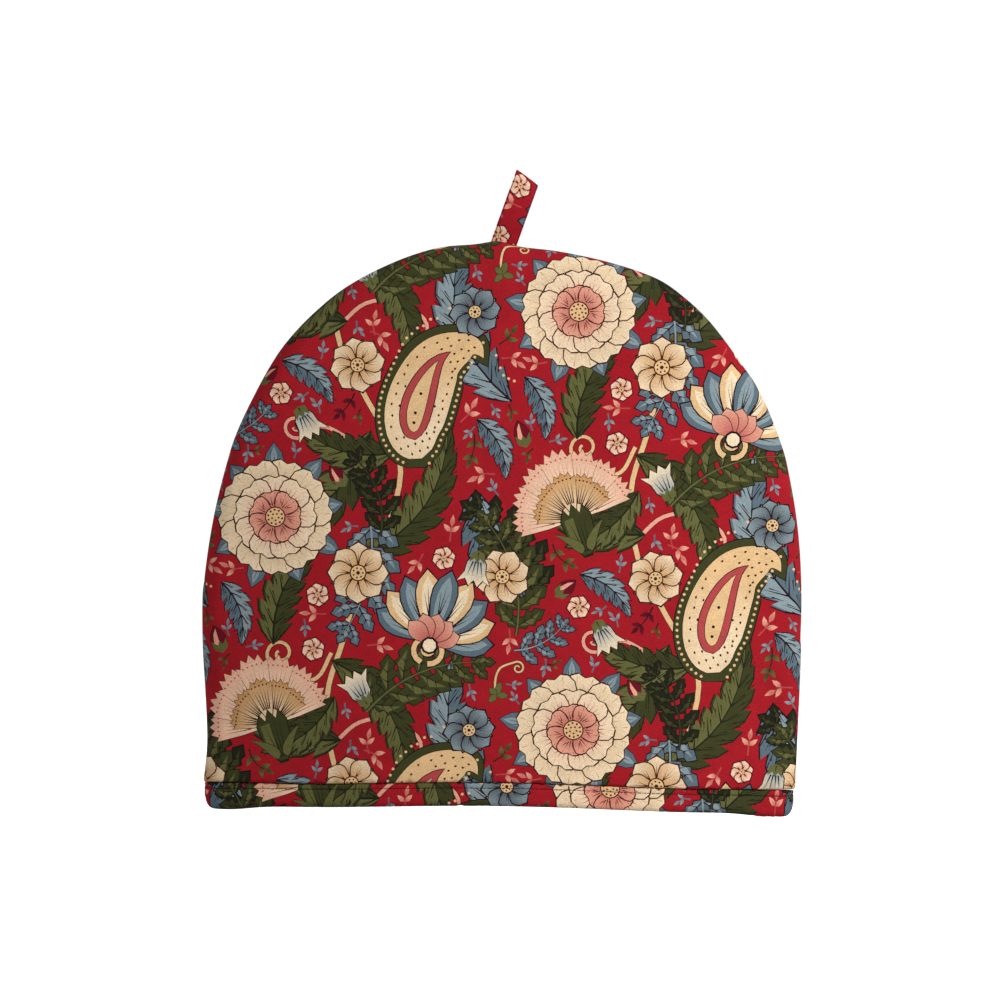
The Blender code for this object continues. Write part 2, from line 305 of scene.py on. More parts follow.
@dataclass(frozen=True)
class SawLeaf:
    """A long bent leaf with saw-toothed edges, one half of it lighter."""

    length: float = 84.0
    half_width: float = 11.0
    bend: float = 0.16
    teeth: int = 8
    dark: Ink = Ink.SLATE
    light: Ink = Ink.PALE_SLATE
    vein: Ink = Ink.NAVY
    rim: float = 0.75

    def at(self, share: float, offset: float = 0.0) -> complex:
        """Return the place at a share of the length and an offset to the left of the spine."""
        return bowed(self.length, self.bend, share, offset)

    def side(self, hand: float, grow: float, share: float = 1.0) -> Line:
        """Follow one toothed side from the base to the tip.

        Args:
            hand: 1 for the left side and -1 for the right one.
            grow: How far it is moved outward.
            share: The share of the leaf's width that it stands at.

        Returns:
            The side.
        """
        points = []
        for tooth in range(self.teeth):
            for step, height in ((0, 0.62), (0.5, 0.96), (1.12, 1.1)):
                t = 0.03 + 0.93 * (tooth + step) / self.teeth
                wide = self.half_width * profile(t, 0.4, 0.8) * height * share
                points.append(self.at(t, hand * (wide + grow)))
        return points

    def blade(self, grow: float) -> Line:
        """Return the leaf's outline, moved outward."""
        left, right = self.side(1, grow), self.side(-1, grow)
        return [self.at(0)] + left + [self.at(1) + 2j * grow] + right[::-1]

    def draw(self, pen: Pen) -> None:
        """Draw the leaf, standing up from the origin.

        Args:
            pen: The pen.
        """
        pen.edged(self.blade, self.rim, self.vein, self.dark)
        spine = bowed_line(self.length, self.bend, 8)
        pen.fill(spine + self.side(1, 0, 0.9)[::-1], self.light)
        pitch = 1 / self.teeth
        for tooth in range(self.teeth):
            start = 0.03 + 0.93 * (tooth - 0.1) / self.teeth
            wide = self.half_width * profile(start + 0.6 * pitch, 0.4, 0.8)
            for side in (wide, -wide):
                foot, head = self.at(max(start, 0)), self.at(start + 0.95 * pitch, side * 0.86)
                pen.needle(foot, head, 0.7, self.vein)
                for foot, inner, head, outer in ((0.75, 0.5, 0.3, 0.12), (0.62, 0.97, 0.2, 0.485),
                                                 (1.28, 0.9, 0.86, 0.45), (0.42, 0.66, 0, 0.33)):
                    pen.needle(self.at(min(start + foot * pitch, 0.99), side * inner),
                               self.at(max(start + head * pitch, 0), side * outer), 0.5, self.vein)
        pen.line(spine, 1.1, self.vein, end=0.25)


@dataclass(frozen=True)
class FernLeaf:
    """A feathery leaf of paired leaflets, whose lobes are places up them and their half widths there."""

    length: float = 60.0
    spread: float = 15.0
    bend: float = 0.12
    pairs: int = 7
    dark: Ink = Ink.OLIVE
    light: Ink = Ink.SAGE
    vein: Ink = Ink.DARK_OLIVE
    rim: float = 0.62
    lobes: Pairs = ((0, 0.05), (0.2, 0.2), (0.34, 0.13), (0.5, 0.27), (0.62, 0.15), (0.78, 0.2), (0.9, 0.09))

    def draw(self, pen: Pen) -> None:
        """Draw the leaf, standing up from the origin.

        Args:
            pen: The pen.
        """
        spine = bowed_line(self.length, self.bend, 2 * self.pairs)
        ways = directions(spine)
        pen.line(spine, 1.9, self.vein, end=0.4)
        leaflets = []
        for pair in range(self.pairs):
            at = 2 * pair + 1
            long = self.spread * (0.45 + 0.75 * profile((pair + 1.2) / (self.pairs + 1.5), 0.35, 1))
            leaflets += [(pen.along(spine[at], ways[at], hand * 52), long, hand) for hand in (1, -1)]
        leaflets.append((pen.along(spine[-2], ways[-1]), self.spread * 0.7, 1))
        for grow, ink in ((self.rim, self.vein), (0, self.dark)):
            for leaflet, long, _ in leaflets:
                leaflet.fill(self.leaflet(long, grow), ink)
        for leaflet, long, hand in leaflets:
            lit = (0j, complex(-hand * 0.2, 0.45), complex(hand * 0.02, 0.86), 0.4j)
            leaflet.fill([long * corner for corner in lit], self.light)
            leaflet.needle(0j, complex(0, long * 0.85), 0.6, self.vein)
            for up, side in ((0.25, 0.2), (0.25, -0.2), (0.52, 0.16), (0.52, -0.16)):
                leaflet.needle(1j * long * up, long * complex(side, up + 0.16), 0.5, self.vein)
        pen.line(spine, 0.9, self.light, end=0.3)

    def leaflet(self, length: float, grow: float) -> Line:
        """Return a lobed leaflet's outline, moved outward, standing up from the origin."""
        right = [complex(length * wide + grow, length * up) for up, wide in self.lobes]
        return mirrored(1, right, complex(0, length + 1.5 * grow))


@dataclass(frozen=True)
class Rosette:
    """A flower of pointed petals seen from above."""

    radius: float = 15.0
    petals: int = 8
    pale: Ink = Ink.CREAM
    deep: Ink = Ink.OCHRE
    line: Ink = Ink.BROWN
    between: Ink = Ink.SLATE
    heart: Ink = Ink.STRAW

    def draw(self, pen: Pen) -> None:
        """Draw the flower round the origin.

        Args:
            pen: The pen.
        """
        step = 360 / self.petals
        radius = self.radius
        wide = radius * math.sin(math.radians(step / 2)) * 0.98
        for index in range(self.petals):
            back = pen.at(0j, step * (index + 0.5))
            back.fill(petal(radius * 0.92, wide * 0.8, 0.6, 0.6), self.line)
            back.fill(petal(radius * 0.92, wide * 0.8, 0.6, -0.1), self.between)
        for index in range(self.petals):
            front = pen.at(0j, step * index)
            front.edged(partial(petal, radius, wide, 0.62), 0.65, self.line,
                        self.pale, self.deep, 1j * radius, radius * 0.95)
            for lean, end in ((0, 0.78), (0.13, 0.66), (-0.13, 0.66)):
                front.needle(1j * radius * 0.28, complex(lean, end) * radius, 0.45, self.line)
        pen.spot(0j, radius * 0.29, self.line, 12)
        pen.spot(0j, radius * 0.245, self.heart, 12)
        pen.spots(7, radius * 0.16, radius * 0.036, self.line)
        pen.spot(0j, radius * 0.07, self.line, 6)


@dataclass(frozen=True)
class Carnation:
    """A fan of ragged petals on a ribbed cup."""

    radius: float = 36.0
    rows: tuple[tuple[int, float, float, Ink, Ink, float, float], ...] = (
        (7, 172, 1, Ink.SALMON, Ink.ROSE, 0.35, 0.75),
        (5, 150, 0.66, Ink.OCHRE, Ink.BROWN, 0, 1),
    )
    teeth: int = 4

    def fan(self, radius: float, half_angle: float, grow: float) -> Line:
        """Outline one ragged petal, standing up from the origin.

        Args:
            radius: Its length.
            half_angle: Half of the angle that it fills, in degrees.
            grow: How far the outline is moved outward.

        Returns:
            The outline.
        """
        rim = []
        for step in range(2 * self.teeth + 1):
            angle = math.radians(90 - half_angle + half_angle * step / self.teeth)
            crown = 1 - 0.10 * ((step / self.teeth) - 1) ** 2
            rim.append(cmath.rect(radius * crown * (1 if step % 2 == 0 else 0.91) + grow, angle))
        waist = grow + radius * 0.02
        return ([complex(-grow, -grow), complex(grow, -grow), rim[0] * 0.5 + waist] + rim
                + [rim[-1] * 0.5 - waist])

    def draw(self, pen: Pen) -> None:
        """Draw the flower, its petals above the origin and its cup below.

        Args:
            pen: The pen.
        """
        for count, spread, share, deep, speck, heart, reach in self.rows:
            half = spread / count / 2 * 1.2
            for _, turn in from_outside_in(count, spread):
                radius = self.radius * share * (1 - 0.16 * abs(turn) / 90)
                one = pen.at(0j, turn)
                one.edged(partial(self.fan, radius, half), 0.4, Ink.BROWN,
                          Ink.CREAM, deep, 1j * radius * heart, radius * reach)
                for lean in (-0.62, -0.31, 0, 0.31, 0.62):
                    end = cmath.rect(radius * 0.8, math.radians(90 + half * lean))
                    one.needle(end * 0.42, end, 0.55, speck)
                    one.spot(end * 1.06, 0.5, speck, 5)
        long = self.radius * 0.5
        ribs = [complex(2, -long), complex(6.4, -long * 0.55), 7.4 + 1j, 4.6 + 6.2j, 2.6 + 2.4j]
        pen.fill(mirrored(1.08, ribs, 7.6j), Ink.DARK_OLIVE)
        pen.fill(mirrored(1, ribs, 7.6j), Ink.OLIVE)
        pen.fill([complex(-1.6, 1 - long), complex(-5.6, -long * 0.5), -6 + 1j, -1.2 + 1.2j], Ink.SAGE)
        for lean in (-4, -1.4, 1.4, 4):
            pen.needle(complex(lean * 0.35, 1.5 - long), complex(lean, 1.5), 0.6, Ink.DARK_OLIVE)
        for side in (1, -1):
            curl = pen.at(complex(side * 2.5, 1 - long))
            curl.edged(partial(petal, 13, 2.6, 0.4, bend=side * 0.75), 0.35, Ink.DARK_OLIVE, Ink.SAGE)


@dataclass(frozen=True)
class Bloom:
    """A large full flower seen from above: rows of petals with notched ends over slate leaves."""

    radius: float = 40.0
    notch: Pairs = ((0.0, 0.22), (0.3, 0.5), (0.6, 0.9), (0.8, 1.0), (0.94, 0.78), (1.0, 0.4))
    rows: tuple[tuple[float, int, Ink, Ink], ...] = (
        (0.92, 11, Ink.CREAM, Ink.OCHRE),
        (0.66, 9, Ink.CREAM, Ink.SALMON),
        (0.41, 7, Ink.SALMON, Ink.ROSE),
    )
    leaves: int = 9

    def draw(self, pen: Pen) -> None:
        """Draw the flower round the origin.

        Args:
            pen: The pen.
        """
        for index in range(self.leaves):
            blade = pen.at(0j, 360 / self.leaves * index + 14)
            long = self.radius * (1.12 if index % 2 else 1.2)
            blade.edged(partial(petal, long, 6.4, 0.7), 0.5, Ink.NAVY, Ink.SLATE)
            blade.fill(petal(long * 0.95, 3.4, 0.7), Ink.PALE_SLATE)
            for lean in (-0.5, 0, 0.5):
                blade.needle(complex(lean * 4, long * 0.7), complex(lean * 5, long * 0.9), 0.6, Ink.NAVY)
        for row, (share, count, pale, deep) in enumerate(self.rows):
            long = self.radius * share
            wide = long * math.sin(math.pi / count) * 1.12
            for index in range(count):
                one = pen.at(0j, 360 / count * index + 13 * row)
                one.edged(partial(self.notched, long, wide), 0.75, Ink.BROWN, deep, pale, 0j, long)
                for lean, start, end in ((0, 0.45, 0.86), (0.34, 0.5, 0.8), (-0.34, 0.5, 0.8),
                                         (0.66, 0.56, 0.74), (-0.66, 0.56, 0.74)):
                    foot = complex(lean * wide * 0.45, long * start)
                    one.needle(foot, complex(lean * wide, long * end), 0.6, Ink.BROWN)
                for lean in (-0.5, 0.5):
                    one.needle(complex(lean * wide * 0.9, long * 0.95),
                               complex(lean * wide * 0.75, long * 0.8), 0.5, deep)
        pen.spot(0j, self.radius * 0.17, Ink.BROWN, 14)
        pen.spot(0j, self.radius * 0.15, Ink.STRAW, 14)
        pen.spots(10, self.radius * 0.115, self.radius * 0.02, Ink.MAROON)
        pen.spots(5, self.radius * 0.055, self.radius * 0.018, Ink.MAROON)

    def notched(self, length: float, half_width: float, grow: float) -> Line:
        """Return a notched petal's outline, moved outward, standing up from the origin."""
        right = [complex(half_width * x + grow, length * z + grow * (z > 0.9)) for z, x in self.notch]
        return mirrored(1, right, complex(0, length * 0.945 + grow))


@dataclass(frozen=True)
class Paisley:
    """A drop-shaped figure with a hooked tip, a speckled body and a beaded rim."""

    length: float = 66.0
    half_width: float = 17.0
    shoulder: float = 0.34
    taper: float = 1.05
    steps: int = 36
    bead_pitch: float = 2.9
    speck_rows: int = 17
    speck_pitch: float = 3.4

    def spine(self) -> Line:
        """Return the curved middle line, from the round end to the hooked tip."""
        guides = (-17j, -4 + 0j, 1 + 18j, 12 + 34j, 28 + 38j, 34 + 28j)
        return smooth([self.length / 66 * point for point in guides], 4)

    def on_spine(self, share: float) -> tuple[complex, complex]:
        """Find a place on the middle line.

        Args:
            share: How far along it the place is.

        Returns:
            The place and the step of the line there.
        """
        line = self.spine()
        index = min(int(share * (len(line) - 1)), len(line) - 2)
        step = line[index + 1] - line[index]
        return line[index] + step * (share * (len(line) - 1) - index), step

    def width_at(self, share: float, taper: float = 1.0) -> float:
        """Find a drop's relative width: round up to its shoulder, then tapering to its tip.

        Args:
            share: How far up it the place is.
            taper: The power of its taper.

        Returns:
            The width there.
        """
        past = (share - self.shoulder) / (1 - self.shoulder)
        return (math.cos(QUARTER * past) ** taper if past >= 0
                else math.sqrt(1 - (1 - share / self.shoulder) ** 2))

    def drop(self, share: float, first: float, last: float, grow: float = 0.0) -> Line:
        """Outline a drop that follows the middle line.

        Args:
            share: Its share of the figure's width.
            first: Where along the middle line it starts.
            last: Where it ends.
            grow: How far the outline is moved outward.

        Returns:
            The outline.
        """
        shares = [step / self.steps for step in range(self.steps + 1)]
        path = [self.on_spine(first + (last - first) * t)[0] for t in shares]
        wide = self.half_width * share
        widths = [wide * self.width_at(t, self.taper) + (grow if 0 < t < 1 else 0) for t in shares]
        ways = directions(path)
        path[0] -= ways[0] * grow
        path[-1] += ways[-1] * grow * 1.5
        corners = strip(path, widths)
        return corners[1:self.steps + 1] + corners[self.steps + 2:]

    def draw(self, pen: Pen) -> None:
        """Draw the figure about the origin.

        Args:
            pen: The pen.
        """
        pen.edged(partial(self.drop, 1.12, 0, 1), 0.5, Ink.BLACK, Ink.OLIVE)
        self.lay_beads(pen)
        body = partial(self.drop, 0.88, 0.05, 0.93)
        pen.edged(body, 0.3, Ink.BLACK, Ink.CREAM, Ink.STRAW, 0j, self.length * 0.5)
        self.lay_specks(pen)
        pen.edged(partial(self.drop, 0.44, 0.16, 0.66), 0.45, Ink.BLACK, Ink.ROSE)
        pen.edged(partial(self.drop, 0.24, 0.2, 0.58), 0.3, Ink.BLACK, Ink.STRAW)
        line = self.spine()
        for share in (0.26, 0.34, 0.42):
            pen.spot(line[int(share * (len(line) - 1))], 0.8, Ink.BLACK, 6)

    def lay_beads(self, pen: Pen) -> None:
        """Lay a row of beads round the rim, a pitch apart.

        Args:
            pen: The pen.
        """
        rim = self.drop(1.02, 0.02, 0.99)
        gone = 0
        for a, b in zip(rim, rim[1:] + rim[:1]):
            gone += abs(b - a)
            if gone >= self.bead_pitch:
                gone -= self.bead_pitch
                pen.spot(b + (a - b) * gone / abs(b - a), 0.75, Ink.STRAW, 6)

    def lay_specks(self, pen: Pen) -> None:
        """Lay rows of small specks across the body, clear of its core.

        Args:
            pen: The pen.
        """
        for row in range(self.speck_rows):
            t = 0.09 + 0.72 * row / (self.speck_rows - 1)
            centre, step = self.on_spine(t)
            way = step / abs(step)
            local = (t - 0.05) / 0.88
            reach = self.half_width * 0.88 * self.width_at(local) - 1.4
            count = max(int(2 * reach / self.speck_pitch), 1)
            for index in range(count):
                shift = (index + (0.5 if row % 2 else 0.25) + 0.125) / count * 2 - 1
                across = shift * reach if count > 1 else 0
                in_core = 0.16 < local < 0.62 and abs(across) < self.half_width * 0.47
                if abs(across) <= reach and not in_core:
                    place = centre + way * 1j * across
                    pen.fill([place + way * out for out in (1, 0.6j, -0.7, -0.6j)], Ink.BROWN)


@dataclass(frozen=True)
class Palmette:
    """A half-round fan of blades over two curls."""

    radius: float = 33.0
    blades: int = 9
    petals: int = 5

    def draw(self, pen: Pen) -> None:
        """Draw the figure, its blades above the origin and its curls below.

        Args:
            pen: The pen.
        """
        radius = self.radius
        wide = radius * 0.165
        for index, turn in from_outside_in(self.blades, 168):
            long = radius * (1 - 0.22 * (abs(turn) / 90) ** 1.5)
            deep, light = (Ink.STRAW, Ink.CREAM) if index % 2 else (Ink.SLATE, Ink.PALE_SLATE)
            blade = pen.at(0j, turn)
            blade.edged(partial(petal, long, wide, 0.66), 0.6, Ink.NAVY, deep)
            blade.fill(petal(long * 0.92, wide * 0.56, 0.66), light)
            for lean in (-0.5, 0, 0.5):
                head = complex(lean * wide * 0.7, long * (0.82 - abs(lean) * 0.2))
                blade.needle(1j * long * 0.34, head, 0.5, Ink.NAVY)
        curl = spiral(complex(1.5, -9), 5, 6.2, 1.3, 1)
        for one in (curl, [-point.conjugate() for point in curl]):
            pen.line(one, 3.4, Ink.NAVY, 0.5)
            pen.line(one, 2.4, Ink.STRAW, 0.4)
        for index in range(self.petals):
            small = pen.at(0j, 150 * ((index + 0.5) / self.petals - 0.5))
            small.edged(partial(petal, radius * 0.4, radius * 0.12, 0.6), 0.35, Ink.NAVY,
                        Ink.ROSE, Ink.SALMON, 0j, radius * 0.4)
        pen.spot(-1j, radius * 0.12, Ink.NAVY, 9)
        pen.spot(-1j, radius * 0.09, Ink.CREAM, 9)


@dataclass(frozen=True)
class Bell:
    """A small bell-shaped flower with three lips."""

    length: float = 15.0

    def draw(self, pen: Pen) -> None:
        """Draw the flower, its stalk's end at the origin.

        Args:
            pen: The pen.
        """
        long = self.length
        side = [0.14 + 0.1j, 0.3 + 0.35j, 0.33 + 0.65j, 0.52 + 0.98j, 0.28 + 0.86j, 0.14 + 1.08j]
        bell = mirrored(long, side, 0.88j)
        pen.fill([0.55j * long + (point - 0.55j * long) * 1.1 for point in bell], Ink.NAVY)
        pen.fill(bell, Ink.PALE_SLATE, Ink.CREAM, 0.2j * long, 0.85 * long)
        for lean in (-0.2, -0.07, 0.07, 0.2):
            pen.needle(complex(lean * 0.6, 0.3) * long, complex(lean * 1.25, 0.8) * long, 0.6, Ink.NAVY)
        pen.fill(mirrored(long, [0.2 + 0.02j, 0.24 + 0.34j, 0.09 + 0.2j], 0.36j, -0.06j), Ink.SAGE)
        pen.needle(0j, 0.22j * long, 0.5, Ink.DARK_OLIVE)


@dataclass(frozen=True)
class Bud:
    """A closed bud in a cup."""

    length: float = 11.0

    def draw(self, pen: Pen) -> None:
        """Draw the bud, its stalk's end at the origin.

        Args:
            pen: The pen.
        """
        long = self.length
        pen.edged(partial(petal, long, long * 0.3, 0.42), 0.3, Ink.BLACK, Ink.MAROON)
        light = (-0.2 + 0.35j, -0.02 + 0.2j, 0.02 + 0.9j, -0.12 + 0.7j)
        pen.fill([long * point for point in light], Ink.SALMON)
        pen.fill(mirrored(long, [0.26 + 0.1j, 0.3 + 0.46j, 0.1 + 0.24j], 0.4j, -0.08j), Ink.SAGE)


@dataclass(frozen=True)
class Sprig:
    """A twig of small leaves that fills the ground between larger figures."""

    length: float = 17.0
    pairs: int = 3
    ink: Ink = Ink.PALE_SLATE
    shade: Ink = Ink.DUSK
    bend: float = 0.12

    def draw(self, pen: Pen) -> None:
        """Draw the twig, standing up from the origin.

        Args:
            pen: The pen.
        """
        spine = bowed_line(self.length, self.bend, 2 * self.pairs)
        ways = directions(spine)
        pen.line(spine, 0.9, self.shade, 0.5)
        size = self.length / (self.pairs + 1) * 1.05
        leaf = mirrored(size, [0.24 + 0.35j, 0.2 + 0.7j], 1.08j, 0j)
        for at in range(1, 2 * self.pairs, 2):
            for turn in (48, -48):
                small = pen.along(spine[at], ways[at], turn)
                small.fill(leaf, self.shade, self.ink, 0j, size * 0.7)
        last = mirrored(size, [0.24 + 0j, 0.2 + 0.3j], 0.75j, -0.4j)
        pen.along(spine[-1], ways[-1]).fill(last, self.shade, self.ink, 0j, size * 0.7)


@dataclass(frozen=True)
class Stem:
    """A dark-edged stalk through guide points, with a share of its width left at its end.

    A curl's radius is above 0 where it turns left, and 0 stands for no curl.
    """

    guides: tuple[complex, ...]
    width: float
    ink: Ink
    line: Ink
    end: float
    curl: float = 0.0

    def draw(self, pen: Pen) -> None:
        """Draw the stalk.

        Args:
            pen: The pen.
        """
        path = smooth(self.guides, 5)
        if self.curl:
            way = math.degrees(cmath.phase(path[-1] - path[-2]))
            path = path[:-1] + spiral(path[-1], way, abs(self.curl), 1.25, math.copysign(1, self.curl))
        pen.line(path, self.width, self.line, self.end, 0.4)
        pen.line(path, self.width, self.ink, self.end)


@dataclass(frozen=True)
class Tendril:
    """A curled stalk with a few small leaves at its foot."""

    guides: tuple[complex, ...] = (0j, 5 + 7j, 4 + 17j, -2 + 25j)
    curl: float = 4.2
    ink: Ink = Ink.SALMON
    line: Ink = Ink.MAROON
    leaves: Pairs = ((-70, 6.5), (10, 7.5), (75, 5.5), (160, 6.0))

    def draw(self, pen: Pen) -> None:
        """Draw the tendril, its foot at the origin.

        Args:
            pen: The pen.
        """
        Stem(self.guides, 1.3, self.ink, self.line, 0.6, self.curl).draw(pen)
        for turn, long in self.leaves:
            pen.at(0j, turn).edged(partial(petal, long, 1.7, 0.45), 0.3, Ink.DARK_OLIVE, Ink.SAGE)


CELL_WIDTH = 165.0
CELL_HEIGHT = 230.0
CELL_DROP = 115.0


@dataclass(frozen=True)
class Placing:
    """A motif's place in the repeat, its turn in degrees counter-clockwise, and whether it is mirrored."""

    motif: Motif
    x: float
    z: float
    turn: float = 0.0
    size: float = 1.0
    flip: bool = False


OLIVE = {"dark": Ink.OLIVE, "light": Ink.SAGE, "vein": Ink.DARK_OLIVE}
PALE = {"dark": Ink.SLATE, "light": Ink.PALE_SLATE, "vein": Ink.NAVY}
LONG_SLATE = SawLeaf(length=88, half_width=12, bend=0.18)
SHORT_SLATE = SawLeaf(length=58, half_width=9.5, bend=-0.14, teeth=6)
SMALL_SLATE = SawLeaf(length=36, half_width=7.0, bend=0.14, teeth=5, rim=0.5)
LONG_OLIVE = SawLeaf(length=82, half_width=10.5, bend=-0.17, **OLIVE)
SHORT_OLIVE = SawLeaf(length=50, half_width=8.5, bend=0.13, teeth=6, **OLIVE)
FERN = FernLeaf()
DARK_FERN = FernLeaf(52, 13, -0.14, 6, Ink.DARK_OLIVE, Ink.OLIVE, Ink.BLACK)
SLATE_FERN = FernLeaf(length=54, spread=14, bend=0.1, pairs=6, **PALE)
SMALL_FERN = FernLeaf(length=32, spread=10, bend=-0.12, pairs=4, **PALE)
STAR = Rosette(6.2, 6, Ink.CREAM, Ink.SALMON, Ink.MAROON, Ink.ROSE)
TENDRIL = Tendril()
PALE_TENDRIL = Tendril((0j, -4 + 6j, -5 + 14j, 1 + 21j), -3.6, Ink.STRAW, Ink.BROWN)
CREAM_ROSE = Rosette()
SLATE_ROSE = Rosette(12.5, pale=Ink.PALE_SLATE, deep=Ink.DUSK, line=Ink.NAVY, between=Ink.CREAM)
TALL_STALK = (-8 + 0j, 10 + 40j, 16 + 76j, -2 + 108j, -18 + 140j, -22 + 176j, -14 + 206j, -8 + 230j)

LAYOUT = tuple(Placing(*row) for row in (
    # Stalks.
    (Stem(TALL_STALK, 2.8, Ink.STRAW, Ink.BROWN, 1), 92, 0),
    (Stem((0j, -8 - 14j, -24 - 16j, -34 - 6j), 2.2, Ink.STRAW, Ink.BROWN, 0.7, -8), 72, 200),
    (Stem((0j, 14 + 12j, 34 + 14j, 46 + 4j), 2.2, Ink.SALMON, Ink.MAROON, 0.7, -9), 74, 150),
    (Stem((0j, 12 + 14j, 26 + 34j, 30 + 52j), 2.2, Ink.SALMON, Ink.MAROON, 0.7, 8), 100, 30),
    (Stem((0j, -22 + 2j, -40 + 10j, -52 + 4j), 2.2, Ink.SALMON, Ink.MAROON, 0.7, -7), 106, 84),
    # Leaves.
    (LONG_SLATE, 4, -6, 16, 1.1),
    (LONG_OLIVE, 92, 92, -52, 1.15, True),
    (LONG_OLIVE, 84, 22, -34, 1.1),
    (LONG_OLIVE, 72, 196, 30, 1, True),
    (SHORT_OLIVE, 78, 152, 66, 1.3),
    (SHORT_OLIVE, 104, 80, 74, 1.1),
    (SHORT_SLATE, 150, 60, -150, 1.2),
    (SHORT_OLIVE, 74, 176, 128),
    (FERN, 92, 168, -66, 1.15),
    (DARK_FERN, 18, 116, 36, 1.2),
    (SLATE_FERN, 92, 44, 168, 1.2),
    (FERN, 8, 96, -164, 1.1, True),
    (DARK_FERN, 98, 34, 20, 0.9),
    (SHORT_OLIVE, 40, 204, -24, 1.2),
    # Large heads.
    (Bloom(), 40, 44, -12, 0.85),
    (Carnation(), 40, 160, 20, 1.12),
    (Paisley(), 120, 92, 6, 1.15),
    (Palmette(), 126, 206, -16, 1.25),
    # Small flowers.
    (CREAM_ROSE, 86, 14, 0, 1.1),
    (CREAM_ROSE, 84, 128, 12),
    (SLATE_ROSE, 148, 158, 8, 1.1),
    (CREAM_ROSE, 0, 128, 20),
    (Bell(), 52, 104, -150, 1.15),
    (Bell(), 152, 26, 170, 1.15),
    (Bell(18), 92, 172, 30),
    (Bud(), 78, 62, 40, 1.2),
    (Bud(), 30, 118, -50, 1.2),
    (Bud(13), 12, 200, 20, 1.1),
))

Box = tuple[complex, complex]
Group = list[Shape]


def corners_of(points: Iterable[complex]) -> Box:
    """Return the low and the high corner of the box round some points."""
    xs, zs = zip(*((point.real, point.imag) for point in points))
    return complex(min(xs), min(zs)), complex(max(xs), max(zs))


def touches(a: Box, b: Box) -> bool:
    """Tell whether two boxes share any ground."""
    return (a[0].real < b[1].real and a[1].real > b[0].real
            and a[0].imag < b[1].imag and a[1].imag > b[0].imag)


def shifts_into(box: Box, figure: Box) -> list[complex]:
    """Find the repeats of a figure that touch a box.

    Args:
        box: The corners of the box.
        figure: The corners of the figure's own box.

    Returns:
        How far each of the repeats lies from the figure.
    """
    (low, high), shifts = figure, []
    first = math.floor((box[0].real - high.real) / CELL_WIDTH)
    last = math.ceil((box[1].real - low.real) / CELL_WIDTH)
    for column in range(first, last + 1):
        drop = column * CELL_DROP
        bottom = math.floor((box[0].imag - high.imag - drop) / CELL_HEIGHT)
        top = math.ceil((box[1].imag - low.imag - drop) / CELL_HEIGHT)
        for row in range(bottom, top + 1):
            shift = complex(column * CELL_WIDTH, drop + row * CELL_HEIGHT)
            if touches((low + shift, high + shift), box):
                shifts.append(shift)
    return shifts


def lies_inside(outline: Array, places: Array) -> Array:
    """Tell which places lie inside an outline.

    Args:
        outline: The outline's corners.
        places: The places.

    Returns:
        Whether each of them does.
    """
    x, z, inside = places.real, places.imag, np.zeros(places.shape, bool)
    for a, b in zip(outline, np.roll(outline, -1)):
        if a.imag != b.imag:
            crosses = (a.imag > z) != (b.imag > z)
            inside ^= crosses & (x < (b.real - a.real) * (z - a.imag) / (b.imag - a.imag) + a.real)
    return inside


